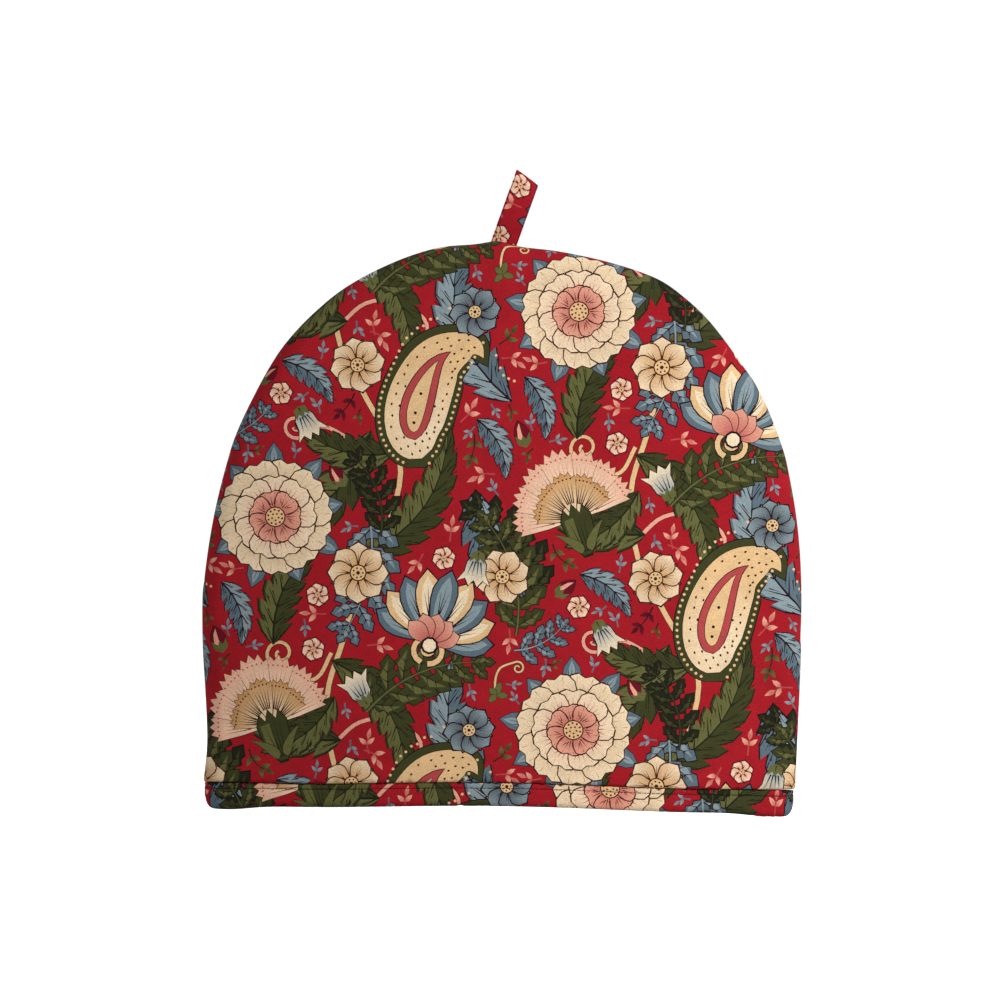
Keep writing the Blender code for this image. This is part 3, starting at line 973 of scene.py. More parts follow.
@dataclass
class GroundFill:
    """Sets small sprigs in the free ground between the figures of the repeat.

    The ground is looked at up to a margin past the repeat's edges. Each round of sprigs has a length, a
    number of pairs of leaves, a number of tries and two inks.
    """

    groups: list[Group]
    margin: int = 34
    sprigs: tuple[tuple[float, int, int, Ink, Ink], ...] = (
        (30.0, 3, 3000, Ink.PALE_SLATE, Ink.DUSK),
        (24.0, 3, 4000, Ink.PALE_SLATE, Ink.DUSK),
        (17.0, 2, 6000, Ink.MAROON, Ink.NAVY),
        (11.0, 1, 7000, Ink.SALMON, Ink.ROSE),
        (7.0, 1, 8000, Ink.PALE_SLATE, Ink.SLATE),
    )

    def __post_init__(self) -> None:
        """Mark the ground under the figures as taken."""
        sides = [int(side) + 2 * self.margin for side in (CELL_HEIGHT, CELL_WIDTH)]
        self.taken = np.zeros(sides, bool)
        for group in self.groups:
            self.stamp(group)

    def sow(self, seed: int) -> list[Group]:
        """Set the motifs and the sprigs, the larger ones first.

        Args:
            seed: The seed of the random draws.

        Returns:
            Their patches.
        """
        rng = random.Random(seed)
        sown: list[Group] = []
        for motif, count in ((SMALL_SLATE, 5), (SMALL_FERN, 3), (TENDRIL, 2), (PALE_TENDRIL, 2), (STAR, 4)):
            sown += self.scatter(rng, 900, count, lambda: motif)
        for length, pairs, tries, ink, shade in self.sprigs:
            sown += self.scatter(rng, tries, tries, lambda: Sprig(
                length * rng.uniform(0.9, 1.1), pairs,
                *((ink, shade) if rng.random() < 0.72 else (Ink.SAGE, Ink.DARK_OLIVE)),
                rng.uniform(-0.2, 0.2)))
        return sown

    def scatter(self, rng: random.Random, tries: int, count: int,
                choose: Callable[[], Motif]) -> list[Group]:
        """Set motifs in the free ground, turned every way.

        Args:
            rng: The random draws.
            tries: How many places are tried.
            count: How many motifs are set at most.
            choose: Gives the next motif.

        Returns:
            Their patches.
        """
        sown: list[Group] = []
        for _ in range(tries):
            place = complex(rng.uniform(0, CELL_WIDTH), rng.uniform(0, CELL_HEIGHT))
            if self.taken[int(place.imag) + self.margin, int(place.real) + self.margin]:
                continue
            group: Group = []
            choose().draw(Pen(group).at(place, rng.uniform(0, 360)))
            if self.free(group):
                self.stamp(group)
                sown.append(group)
                if len(sown) == count:
                    break
        return sown

    def free(self, group: Group) -> bool:
        """Tell whether nothing lies under a group of patches or close beside it.

        Args:
            group: The patches.

        Returns:
            Whether the ground is free.
        """
        height, width = self.taken.shape
        for shape in group:
            for point in shape.outline:
                x, z = int(point.real + self.margin), int(point.imag + self.margin)
                if not (1 <= x < width - 1 and 1 <= z < height - 1):
                    return False
                if self.taken[z, x] or self.taken[z, x - 1] or self.taken[z - 1, x]:
                    return False
        return True

    def stamp(self, group: Group) -> None:
        """Mark the ground under a group of patches, and under its repeats, as taken.

        Args:
            group: The patches.
        """
        edge = complex(self.margin, self.margin)
        ground = (-edge, complex(CELL_WIDTH, CELL_HEIGHT) + edge)
        for shift in shifts_into(ground, corners_of(point for shape in group for point in shape.outline)):
            for shape in group:
                self.stamp_outline(np.array(shape.outline) + (shift + edge))

    def stamp_outline(self, outline: Array) -> None:
        """Mark the ground inside one outline as taken.

        Args:
            outline: Its corners, measured from the ground's own corner.
        """
        height, width = self.taken.shape
        xs, zs = outline.real, outline.imag
        x0, x1 = max(int(xs.min()), 0), min(int(xs.max()) + 2, width)
        z0, z1 = max(int(zs.min()), 0), min(int(zs.max()) + 2, height)
        if x0 < x1 and z0 < z1:
            x, z = np.meshgrid(np.arange(x0, x1) + 0.5, np.arange(z0, z1) + 0.5)
            self.taken[z0:z1, x0:x1] |= lies_inside(outline, x + 1j * z)
            x, z = xs.astype(int), zs.astype(int)
            near = (x >= 0) & (x < width) & (z >= 0) & (z < height)
            self.taken[z[near], x[near]] = True


@dataclass
class Repeat:
    """The printed cotton's repeat: a block of figures whose next column is dropped by half."""

    seed: int = 7

    def __post_init__(self) -> None:
        """Draw every motif of the layout, and the sprigs that lie below them."""
        figures: list[Group] = []
        for placing in LAYOUT:
            group: Group = []
            pen = Pen(group).at(complex(placing.x, placing.z), placing.turn, placing.size, placing.flip)
            placing.motif.draw(pen)
            figures.append(group)
        self.groups = GroundFill(figures).sow(self.seed) + figures

    def shapes_in(self, box: Box, offset: complex = 0j) -> Group:
        """Find the patches of ink that touch a box.

        Args:
            box: The corners of the box.
            offset: How far the whole print is shifted.

        Returns:
            The patches, from the bottom one up.
        """
        found = []
        for group in self.groups:
            low, high = corners_of(point for shape in group for point in shape.outline)
            for shift in shifts_into(box, (low + offset, high + offset)):
                move = shift + offset
                for shape in group:
                    low_corner, high_corner = corners_of(shape.outline)
                    if touches((low_corner + move, high_corner + move), box):
                        outline = tuple(point + move for point in shape.outline)
                        found.append(Shape(outline, shape.ink, shape.edge, shape.heart + move, shape.reach))
        return found


MILLIMETRE = 0.001
WELD_DISTANCE = 0.004


def wave(along: Array, phase: float) -> Array:
    """Return a slow uneven wave between about -1 and 1 at distances along it, from a phase on."""
    return (0.5 * np.sin(along / 6.1 + phase) + 0.3 * np.sin(along / 3.7 + 2.3 * phase)
            + 0.4 * np.sin(along / 14.3 + 0.7 * phase)) * (0.75 + 0.35 * np.sin(along / 41.0 + phase))


@dataclass(frozen=True)
class Hollow:
    """A soft hollow in the padding: the place of its middle, its half sizes and its depth."""

    x: float
    z: float
    half_width: float
    half_height: float
    depth: float

    def depth_at(self, place: Array) -> Array:
        """Return how deep the hollow is at each place."""
        x, z = (place.real - self.x) / self.half_width, (place.imag - self.z) / self.half_height
        return self.depth * np.exp(-(x ** 2 + z ** 2))


@dataclass(frozen=True)
class Crease:
    """A soft trough, or a ridge if its depth is below 0, along a straight line of the panel."""

    x0: float
    z0: float
    x1: float
    z1: float
    width: float
    depth: float

    def depth_at(self, place: Array) -> Array:
        """Find how deep the crease is.

        Args:
            place: Places of the panel.

        Returns:
            The depth at each.
        """
        start, line = complex(self.x0, self.z0), complex(self.x1 - self.x0, self.z1 - self.z0)
        length = abs(line)
        local = (place - start) * (line / length).conjugate()
        share = np.clip(local.real / length, 0, 1)
        away = (local.imag ** 2 + (local.real - share * length) ** 2) / self.width ** 2
        return self.depth * np.exp(-away) * (0.35 + 0.65 * np.sin(math.pi * np.clip(share, 0.08, 0.92)))


@dataclass(frozen=True)
class CosyForm:
    """The outline and the swell of the cosy, in millimetres and degrees.

    The dome leans to the right and is squarer at its shoulders than an ellipse, whose power is 2. Its
    swells are uneven places of the sewn edge: the angle, the width and the rise of each. Its sides give
    heights below the dome's curve, and how far out the left and the right side are there. The roll is the
    padded edge that turns in to the seam. The hem's middle is arched up and its two ends droop, with
    rounded tips. The pucker draws the seam up under the loop, growing over a share of the rise.
    """

    half_width: float = 165.0
    rise: float = 222.0
    power: float = 2.4
    centre_x: float = -1.0
    centre_z: float = 87.4
    lean: float = 3.0
    first_angle: int = 6
    angle_step: int = 4
    sides: tuple[tuple[float, float, float], ...] = (
        (13.1, 162.8, 162.8), (34, 161, 163.4), (60, 162.2, 164.2), (88, 164.2, 164.9),
    )
    swells: tuple[tuple[float, float, float], ...] = (
        (38, 3, 0.5), (55.5, 4, -1.5), (69.5, 4, 1.3),
        (81, 6, -0.9), (95, 2.5, 1.4), (102, 5, 1.5),
        (119, 3, 0.3), (129, 5, 0.8), (145, 4, 0.6),
    )
    belly: float = 42.0
    roll_reach: float = 9.0
    roll_depth: float = 7.4
    seam_half_gap: float = 0.03
    wall: float = 6.8
    band_top: float = 12.8
    arch_rise: float = 3.2
    arch_half_span: float = 112.0
    arch_fade: float = 90.0
    droop: float = 2.1
    droop_at: float = 150.0
    droop_width: float = 17.0
    tip_half_width: float = 161.6
    tip_round: float = 5.0
    pucker: float = 1.4
    pucker_at: float = -5.0
    pucker_width: float = 8.0
    pucker_growth: float = 0.4
    smooth_steps: int = 5

    @property
    def foot(self) -> float:
        """Return the height where the panels' outline ends above the hem."""
        return self.sides[0][0]

    def outline(self) -> Array:
        """Lead the outline from the left end of the hem, over the dome, to its right end.

        Returns:
            The outline.
        """
        dome = []
        for angle in range(180 - self.first_angle, self.first_angle - 1, -self.angle_step):
            turn = math.radians(angle)
            size = (abs(math.cos(turn) / self.half_width) ** self.power
                    + abs(math.sin(turn) / self.rise) ** self.power)
            radius = size ** (-1.0 / self.power) + sum(
                rise * math.exp(-((angle - middle) / width) ** 2) for middle, width, rise in self.swells)
            dome.append(complex(self.centre_x, self.centre_z)
                        + cmath.rect(radius, turn - math.radians(self.lean)))
        left_side = [complex(-left, height) for height, left, _ in self.sides]
        right_side = [complex(right, height) for height, _, right in reversed(self.sides)]
        return np.array(smooth(left_side + dome + right_side, self.smooth_steps))

    def arch(self, x: Array, z: Array) -> Array:
        """Find how far the cloth is lifted: it stands on the ends of its hem and bows up between them.

        Args:
            x: Places across the cosy.
            z: Their heights.

        Returns:
            The lift at each place.
        """
        bow_up = np.clip(1 - (x / self.arch_half_span) ** 2, 0, None) ** 2
        fade = np.clip(1 - np.maximum(z, self.band_top) / self.arch_fade, 0, None) ** 2
        low = np.clip(1 - z / self.band_top, 0, 1)
        end = np.exp(-((np.abs(x) - self.droop_at) / self.droop_width) ** 2)
        corner = np.clip((np.abs(x) - self.tip_half_width) / self.tip_round + 1.0, 0, 1)
        high = np.clip(z / self.rise - 1.0, 0.0, self.pucker_growth) / self.pucker_growth
        drawn = np.exp(-((x - self.pucker_at) / self.pucker_width) ** 2)
        return (self.droop * (1 - end * low) + self.tip_round * (1 - np.sqrt(1 - corner ** 2)) * low
                + self.arch_rise * bow_up * fade + self.pucker * drawn * high ** 2)


@dataclass
class Edge:
    """An outline that places can be measured from."""

    points: Array

    def __post_init__(self) -> None:
        """Work out the outward direction at each point and how far along the outline it lies."""
        ways = np.gradient(self.points)
        self.outward = 1j * ways / np.abs(ways)
        self.arcs = np.concatenate([[0.0], np.cumsum(np.abs(np.diff(self.points)))])

    def at(self, arcs: Array) -> tuple[Array, Array]:
        """Return the places at distances along the outline, and the outward direction there."""
        return tuple(np.interp(arcs, self.arcs, of.real) + 1j * np.interp(arcs, self.arcs, of.imag)
                     for of in (self.points, self.outward))

    def moved(self, distance: float) -> Array:
        """Return the outline's points moved outward, with the heights of its two ends kept."""
        shift = self.outward * distance
        return self.points + np.concatenate([shift[:1].real, shift[1:-1], shift[-1:].real])

    def measure(self, places: Array) -> tuple[Array, Array, Array]:
        """Measure places from the outline.

        Args:
            places: The places.

        Returns:
            How far each is inside, the outward direction there, and the distance along.
        """
        starts, steps = self.points[:-1], np.diff(self.points)
        parts = []
        for part in np.array_split(places, len(places) // 4096 + 1):
            off = part[:, None] - starts[None, :]
            share = np.clip((off * steps.conj()).real / np.abs(steps) ** 2, 0, 1)
            near = np.abs(off - share * steps).argmin(axis=1)
            share = share[np.arange(len(part)), near]
            way = self.outward[near] * (1 - share) + self.outward[near + 1] * share
            way /= np.abs(way)
            foot = starts[near] + share * steps[near]
            along = self.arcs[near] + share * np.abs(steps[near])
            parts.append((-((part - foot) * way.conj()).real, way, along))
        return tuple(np.concatenate(found) for found in zip(*parts))


@dataclass
class Swell:
    """How a skin of the padding, with soft hollows in it, stands away from the seam plane.

    The hollows fade out above the band, over a height, and at the sewn edge, over a share of the fullness.
    """

    form: CosyForm
    outline: Array
    hollows: tuple[Hollow, ...]
    fade_height: float = 30.0
    fade_share: float = 0.25

    def fullness(self, place: Array) -> Array:
        """Find how full the padding is: 1 at the middle of the base, falling to 0 at the sewn edge.

        Args:
            place: Places of the seam plane.

        Returns:
            The fullness at each place.
        """
        base = complex(0.0, self.form.foot)
        rim, spoke = self.outline[::-1] - base, place - base
        reach = np.interp(np.angle(spoke), np.angle(rim), np.abs(rim))
        return np.clip(1 - (np.abs(spoke) / reach) ** 2, 0, None)

    def depth(self, place: Array) -> Array:
        """Find how far the skin stands out, without its rolled edge.

        Args:
            place: Places of the seam plane.

        Returns:
            The depth at each place.
        """
        full = self.fullness(place)
        fade = np.clip((place.imag - self.form.band_top) / self.fade_height, 0, 1)
        sunk = sum(hollow.depth_at(place) for hollow in self.hollows)
        return self.form.belly * full - sunk * fade * np.clip(full / self.fade_share, 0, 1)


def triangulate(points: Array, edges: Array,
                sources: bool = False) -> tuple[Array, Array, list[list[int]]]:
    """Cover points with triangles that keep to the given edges.

    Args:
        points: The places that become corners.
        edges: Pairs of their numbers.
        sources: Whether to tell which points each corner stands for.

    Returns:
        The corners, the triangles, and the points that each corner stands for.
    """
    corners = [Vector((point.real, point.imag)) for point in points]
    found = delaunay_2d_cdt(corners, edges.tolist(), [], 0, WELD_DISTANCE, sources)
    return np.array([complex(*corner) for corner in found[0]]), np.array(found[2]), found[3]


def loop_edges(first: int, count: int) -> Array:
    """Return the edges of a closed run of corners."""
    run = np.arange(count)
    return np.column_stack([run, (run + 1) % count]) + first


def sides_of(faces: Array) -> Array:
    """Return the directed edges of triangles: all first ones, then all second and all third ones."""
    return np.concatenate([faces[:, [0, 1]], faces[:, [1, 2]], faces[:, [2, 0]]])


def only_used(corners: Array, users: Array) -> tuple[Array, Array]:
    """Return the corners that edges or faces use, and the edges or faces with their new numbers."""
    used = np.unique(users)
    return corners[used], np.searchsorted(used, users)


def frame_round(outline: Array, margin: float = 20.0) -> Array:
    """Return four corners well outside an outline, so that its own edges all lie inside them."""
    low, high = np.array(corners_of(outline)) + margin * np.array([-1 - 1j, 1 + 1j])
    return np.array([low, complex(high.real, low.imag), high, complex(low.real, high.imag)])


SurfaceMap = Callable[[Array], Array]


@dataclass
class CutCloth:
    """A flat piece of printed cotton, cut into faces along every edge of its print.

    Args:
        outline: The piece's outline, counter-clockwise.
        inner: Places inside it that become corners too.
        shapes: The patches of ink, from the bottom one up.
        longest: How long the print's edges may be at a place, so that they bend with the cloth.
        ground: The ink of its ground.
    """

    outline: Array
    inner: Array
    shapes: list[Shape]
    longest: SurfaceMap
    ground: Ink = Ink.CRIMSON

    def __post_init__(self) -> None:
        """Cut the cloth along its print, and again with its seen edges divided."""
        surround = frame_round(self.outline)
        points, edges = [self.outline, surround], [loop_edges(0, len(self.outline))]
        count = len(self.outline) + len(surround)
        for shape in self.shapes:
            points.append(np.array(shape.outline))
            edges.append(loop_edges(count, len(shape.outline)))
            count += len(shape.outline)
        corners, faces, _ = triangulate(np.concatenate(points), np.concatenate(edges))
        seen = self.seen_edges(faces, self.inks_of(corners, faces))
        corners, seen = only_used(*self.divide(corners, seen))
        corners, faces, _ = triangulate(np.concatenate([corners, self.inner, surround]), seen)
        inks = self.inks_of(corners, faces)
        self.inks = inks[inks >= 0]
        self.points, self.faces = only_used(corners, faces[inks >= 0])
        self.rim = self.find_rim()

    def divide(self, corners: Array, edges: Array) -> tuple[Array, Array]:
        """Divide every edge that is too long evenly.

        Args:
            corners: The corners.
            edges: The edges.

        Returns:
            The corners with the new ones added, and the divided edges.
        """
        first, second = corners[edges[:, 0]], corners[edges[:, 1]]
        pieces = np.ceil(np.abs(second - first) / self.longest((first + second) / 2)).astype(int)
        pieces = np.maximum(pieces, 1)
        added, parts = [], [edges[pieces == 1]]
        count = len(corners)
        for index in np.nonzero(pieces > 1)[0]:
            new = pieces[index] - 1
            added.append(first[index] + (second[index] - first[index]) * np.arange(1, new + 1) / (new + 1))
            chain = np.concatenate([[edges[index, 0]], np.arange(count, count + new), [edges[index, 1]]])
            parts.append(np.column_stack([chain[:-1], chain[1:]]))
            count += new
        return np.concatenate([corners, *added]), np.concatenate(parts)

    def inks_of(self, corners: Array, faces: Array) -> Array:
        """Find the topmost patch on each face.

        Args:
            corners: The corners.
            faces: The faces.

        Returns:
            The patches' numbers from 1 up, 0 for the ground and -1 outside the piece.
        """
        middles = corners[faces].mean(axis=1)
        order = np.argsort(middles.real)
        middles = middles[order]
        top = np.where(lies_inside(self.outline, middles), 0, -1)
        for number, shape in enumerate(self.shapes, 1):
            low, high = corners_of(shape.outline)
            first, last = np.searchsorted(middles.real, [low.real, high.real])
            part = middles[first:last].imag
            near = np.nonzero((part >= low.imag) & (part <= high.imag))[0] + first
            near = near[top[near] >= 0]
            top[near[lies_inside(np.array(shape.outline), middles[near])]] = number
        inks = np.empty(len(faces), int)
        inks[order] = top
        return inks

    @staticmethod
    def seen_edges(faces: Array, inks: Array) -> Array:
        """Find the edges that part two different patches.

        Args:
            faces: The faces.
            inks: The number of each face's patch.

        Returns:
            The edges.
        """
        edges = np.sort(sides_of(faces), axis=1)
        keys = edges[:, 0] * (faces.max() + 1) + edges[:, 1]
        order = np.argsort(keys, kind="stable")
        keys, inks = keys[order], np.tile(inks, 3)[order]
        parted = (keys[1:] == keys[:-1]) & (inks[1:] != inks[:-1])
        return edges[order[:-1][parted]]

    def find_rim(self) -> Array:
        """Follow the piece's outline.

        Returns:
            The numbers of its corners, in order.
        """
        keys = set(map(tuple, sides_of(self.faces).tolist()))
        following = {a: b for a, b in keys if (b, a) not in keys}
        rim = [next(iter(following))]
        while rim[-1] in following:
            rim.append(following.pop(rim[-1]))
        if following or rim[0] != rim[-1]:
            raise ValueError(f"the cloth's outline is not one loop: {len(following)} edges are left over")
        return np.array(rim[:-1])

    def corner_colours(self) -> Array:
        """Mix the ink's colour at every corner of every face.

        Returns:
            The colours, in linear light.
        """
        inks = [Shape((), self.ground, self.ground), *self.shapes]
        heart, reach, first, second = (np.array(values)[self.inks] for values in zip(*(
            (shape.heart, shape.reach, shape.ink.linear(), shape.edge.linear()) for shape in inks)))
        away = np.abs(self.points[self.faces] - heart[:, None]) / reach[:, None]
        share = np.clip(away, 0, 1)[..., None]
        return first[:, None, :] * (1 - share) + second[:, None, :] * share


def surface_normals(surface: SurfaceMap, places: Array, step: float = 0.35) -> Array:
    """Return the unit normals of a surface at flat places, felt a step to either side."""
    normals = np.cross(*(surface(places + way) - surface(places - way) for way in (step, 1j * step)))
    return normals / np.maximum(np.linalg.norm(normals, axis=1, keepdims=True), 1e-12)


@dataclass
class ClothSolid:
    """A closed body of cloth: a printed face, a plain back and the cut edge between them.

    Args:
        cloth: The flat printed piece.
        face: Where the printed face lies, from flat places to millimetres.
        back: Where the back lies.
        back_points: Flat places that become corners of the back.
        map_rows: How many rows the piece is laid in on its flat map.
        row_gap: How far apart its rows are.
        row_margin: How much room is left at a row's end.
        face_width: How much of the map the printed face is wide or high.
        back_width: How much of it the back is.
        edge_width: How much of it the cut edge is wide.
    """

    cloth: CutCloth
    face: SurfaceMap
    back: SurfaceMap
    back_points: Array
    map_rows: int = 1
    row_gap: float = 8.0
    row_margin: float = 12.0
    face_width: float = 0.86
    back_width: float = 0.08
    edge_width: float = 0.84

    def build(self, name: str) -> bpy.types.Object:
        """Make the mesh object, in metres, with its colours and its flat coordinates.

        Args:
            name: The object's name.

        Returns:
            The object.
        """
        cloth, count = self.cloth, len(self.cloth.points)
        rim = cloth.points[cloth.rim]
        joined = np.concatenate([rim, self.back_points])
        behind, back_faces, sources = triangulate(joined, loop_edges(0, len(rim)), True)
        middles = behind[back_faces].mean(axis=1)
        back_faces = back_faces[lies_inside(rim, middles)][:, ::-1]
        back_rim = np.empty(len(rim), int)
        for corner, found in enumerate(sources):
            back_rim[[source for source in found if source < len(rim)]] = corner + count

        flat = np.concatenate([cloth.points, behind])
        places = np.concatenate([self.face(cloth.points), self.back(behind)]) * MILLIMETRE
        normals = np.concatenate([surface_normals(self.face, cloth.points),
                                  -surface_normals(self.back, behind)])
        quads = np.column_stack([np.roll(cloth.rim, -1), cloth.rim, back_rim, np.roll(back_rim, -1)])
        triangles = np.concatenate([cloth.faces, back_faces + count])
        a, b, c, d = places[quads].swapaxes(0, 1)
        quad_normals = np.cross(c - a, d - b)
        quad_normals /= np.maximum(np.linalg.norm(quad_normals, axis=1, keepdims=True), 1e-12)

        mesh = bpy.data.meshes.new(name)
        mesh.from_pydata(places.tolist(), [], triangles.tolist() + quads.tolist(), shade_flat=False)
        slots = np.repeat([0, 1, 0], [len(cloth.faces), len(back_faces), len(quads)])
        mesh.polygons.foreach_set("material_index", slots)
        loop_normals = np.concatenate([normals[triangles.ravel()], np.repeat(quad_normals, 4, axis=0)])
        mesh.normals_split_custom_set(loop_normals.tolist())

        colours = np.ones((len(mesh.loops), 4), np.float32)
        colours[:, :3] = cloth.ground.linear()
        colours[:3 * len(cloth.faces), :3] = cloth.corner_colours().reshape(-1, 3)
        layer = mesh.color_attributes.new("print", "FLOAT_COLOR", "CORNER")
        layer.data.foreach_set("color", colours.ravel())
        coordinates = np.column_stack([flat.real, flat.imag, np.zeros(len(flat))]) * MILLIMETRE
        mesh.attributes.new("cloth", "FLOAT_VECTOR", "POINT").data.foreach_set("vector", coordinates.ravel())
        spots = np.concatenate([self.map_faces(flat, triangles).ravel(), self.map_edge(len(quads)).ravel()])
        layer = mesh.uv_layers.new(name="OFBake")
        layer.data.foreach_set("uv", np.column_stack([spots.real, spots.imag]).ravel())
        thing = bpy.data.objects.new(name, mesh)
        bpy.context.scene.collection.objects.link(thing)
        return thing

    def map_faces(self, flat: Array, triangles: Array) -> Array:
        """Lay the printed face flat on most of a map, with the back small in a corner.

        Args:
            flat: The flat places of all corners.
            triangles: The triangles, those of the printed face first.

        Returns:
            Where on the map each corner of each triangle lies.
        """
        low, high = corners_of(flat)
        size, turned = high - low, (flat - low)[triangles]
        row_length = size.real / self.map_rows
        row = np.minimum(turned.mean(axis=1).real // row_length, self.map_rows - 1)
        pitch = size.imag + (self.row_gap if self.map_rows > 1 else 0.0)
        scale = self.face_width / max(row_length + self.row_margin, pitch * self.map_rows)
        laid = (turned - row[:, None] * (row_length - 1j * pitch)) * scale + complex(0.02, 0.02)
        behind = slice(len(self.cloth.faces), None)
        laid[behind] = turned[behind] * (self.back_width / max(size.real, size.imag)) + complex(0.90, 0.90)
        return laid

    def map_edge(self, count: int) -> Array:
        """Return where on the map each corner of the cut edge's four-sided faces lies."""
        across = (np.arange(count)[:, None] + np.array([1, 0, 0, 1])) / count * self.edge_width + 0.02
        return across + 1j * np.array([0.92, 0.92, 0.94, 0.94])


@dataclass
class Nodes:
    """The node tree of one material or world, while it is put together."""

    tree: bpy.types.NodeTree

    def add(self, kind: str, inputs: dict[str | int, object] | None = None,
            **settings: object) -> bpy.types.ShaderNode:
        """Add a node.

        Args:
            kind: Its kind, without the word that all the kinds start with.
            inputs: Values, or other nodes' outputs, for its inputs.
            **settings: Values for its own settings.

        Returns:
            The node.
        """
        node = self.tree.nodes.new("ShaderNode" + kind)
        for name, value in settings.items():
            setattr(node, name, value)
        self.feed(node, inputs or {})
        return node

    def feed(self, node: bpy.types.ShaderNode, inputs: dict[str | int, object]) -> None:
        """Give a node its inputs.

        Args:
            node: The node.
            inputs: Values, or other nodes' outputs, by the inputs' names or numbers.
        """
        for name, value in inputs.items():
            if isinstance(value, bpy.types.NodeSocket):
                self.tree.links.new(value, node.inputs[name])
            else:
                node.inputs[name].default_value = value

    def sum(self, operation: str, *values: object) -> bpy.types.NodeSocket:
        """Return the result of a sum of values and other nodes' outputs."""
        return self.add("Math", dict(enumerate(values)), operation=operation).outputs["Value"]


@dataclass(frozen=True)
class CottonFinish:
    """A matt woven cotton, of a plain sRGB colour or printed.

    It took the dye unevenly, in patches of three sizes: the scale, the detail and the strength of each.
    """

    name: str
    plain: tuple[int, int, int] | None = None
    roughness: float = 0.84
    thread: float = 0.6
    thread_relief: float = 0.05
    mottle: float = 0.25
    patches: tuple[tuple[float, float, float], ...] = ((30, 2, 1), (160, 2, 1.2), (1100, 3, 3.6))
    sheen: float = 0.01

    def material(self) -> bpy.types.Material:
        """Make the cotton.

        Returns:
            The material.
        """
        material = bpy.data.materials.new(self.name)
        material.use_nodes = True
        nodes = Nodes(material.node_tree)
        place = nodes.add("Attribute", attribute_name="cloth").outputs["Vector"]
        tone: bpy.types.NodeSocket | float = 1.0
        for scale, detail, weight in self.patches:
            strength = weight * self.mottle
            noise = nodes.add("TexNoise", {"Scale": scale, "Detail": detail, "Vector": place})
            change = nodes.sum("MULTIPLY_ADD", noise.outputs["Fac"], strength, -0.5 * strength)
            tone = nodes.sum("ADD", change, tone)
        if self.plain is None:
            dye = nodes.add("Attribute", attribute_name="print").outputs["Color"]
        else:
            dye = (*linear_colour(self.plain), 1.0)
        tint = nodes.add("Mix", data_type="RGBA", blend_type="MULTIPLY")
        nodes.feed(tint, {"Factor": 1.0, "A": dye, "B": tone})

        bands = math.tau / (20.0 * self.thread * MILLIMETRE)
        threads = [nodes.add("TexWave", {"Scale": bands, "Vector": place}, bands_direction=direction)
                   for direction in ("X", "Y")]
        weave = nodes.sum("MULTIPLY", *(nodes.sum("SUBTRACT", one.outputs["Fac"], 0.5) for one in threads))
        relief = {"Strength": 0.5, "Distance": 4.0 * self.thread_relief * MILLIMETRE, "Height": weave}
        nodes.feed(material.node_tree.nodes["Principled BSDF"], {
            "Roughness": self.roughness, "Metallic": 0.0, "Specular IOR Level": 0.08,
            "Sheen Weight": self.sheen, "Sheen Roughness": 0.5,
            "Base Color": tint.outputs["Result"], "Normal": nodes.add("Bump", relief).outputs["Normal"]})
        return material


def even_line(points: Array, spacing: float) -> Array:
    """Return places about a spacing apart along a line, its two ends among them."""
    line = Edge(points)
    return line.at(np.linspace(0.0, line.arcs[-1], max(int(round(line.arcs[-1] / spacing)), 1) + 1))[0]


def rectangle(width: float, height: float, spacing: float) -> Array:
    """Return a rectangle's outline from the origin, counter-clockwise, with corners a spacing apart."""
    corners = np.array([0j, width, complex(width, height), 1j * height, 0j])
    return np.concatenate([even_line(corners[at:at + 2], spacing)[:-1] for at in range(4)])


def lattice(across: Array, along: Array) -> Array:
    """Return every crossing of lines across and along, row by row."""
    return (across[None, :] + 1j * along[:, None]).ravel()


def dress(thing: bpy.types.Object, node: str, slot: str, *cloths: bpy.types.Material) -> None:
    """Give a piece its cloths and its place on the cosy, and report it.

    Args:
        thing: The piece.
        node: The solid that it stands for.
        slot: The name of its cloth in the library; it is not used.
        *cloths: The cloth of its printed side and that of its back.
    """
    for cloth in cloths:
        thing.data.materials.append(cloth)
    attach(thing, "root")
    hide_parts(node)
    logging.info("%s: %d faces", thing.name, len(thing.data.polygons))


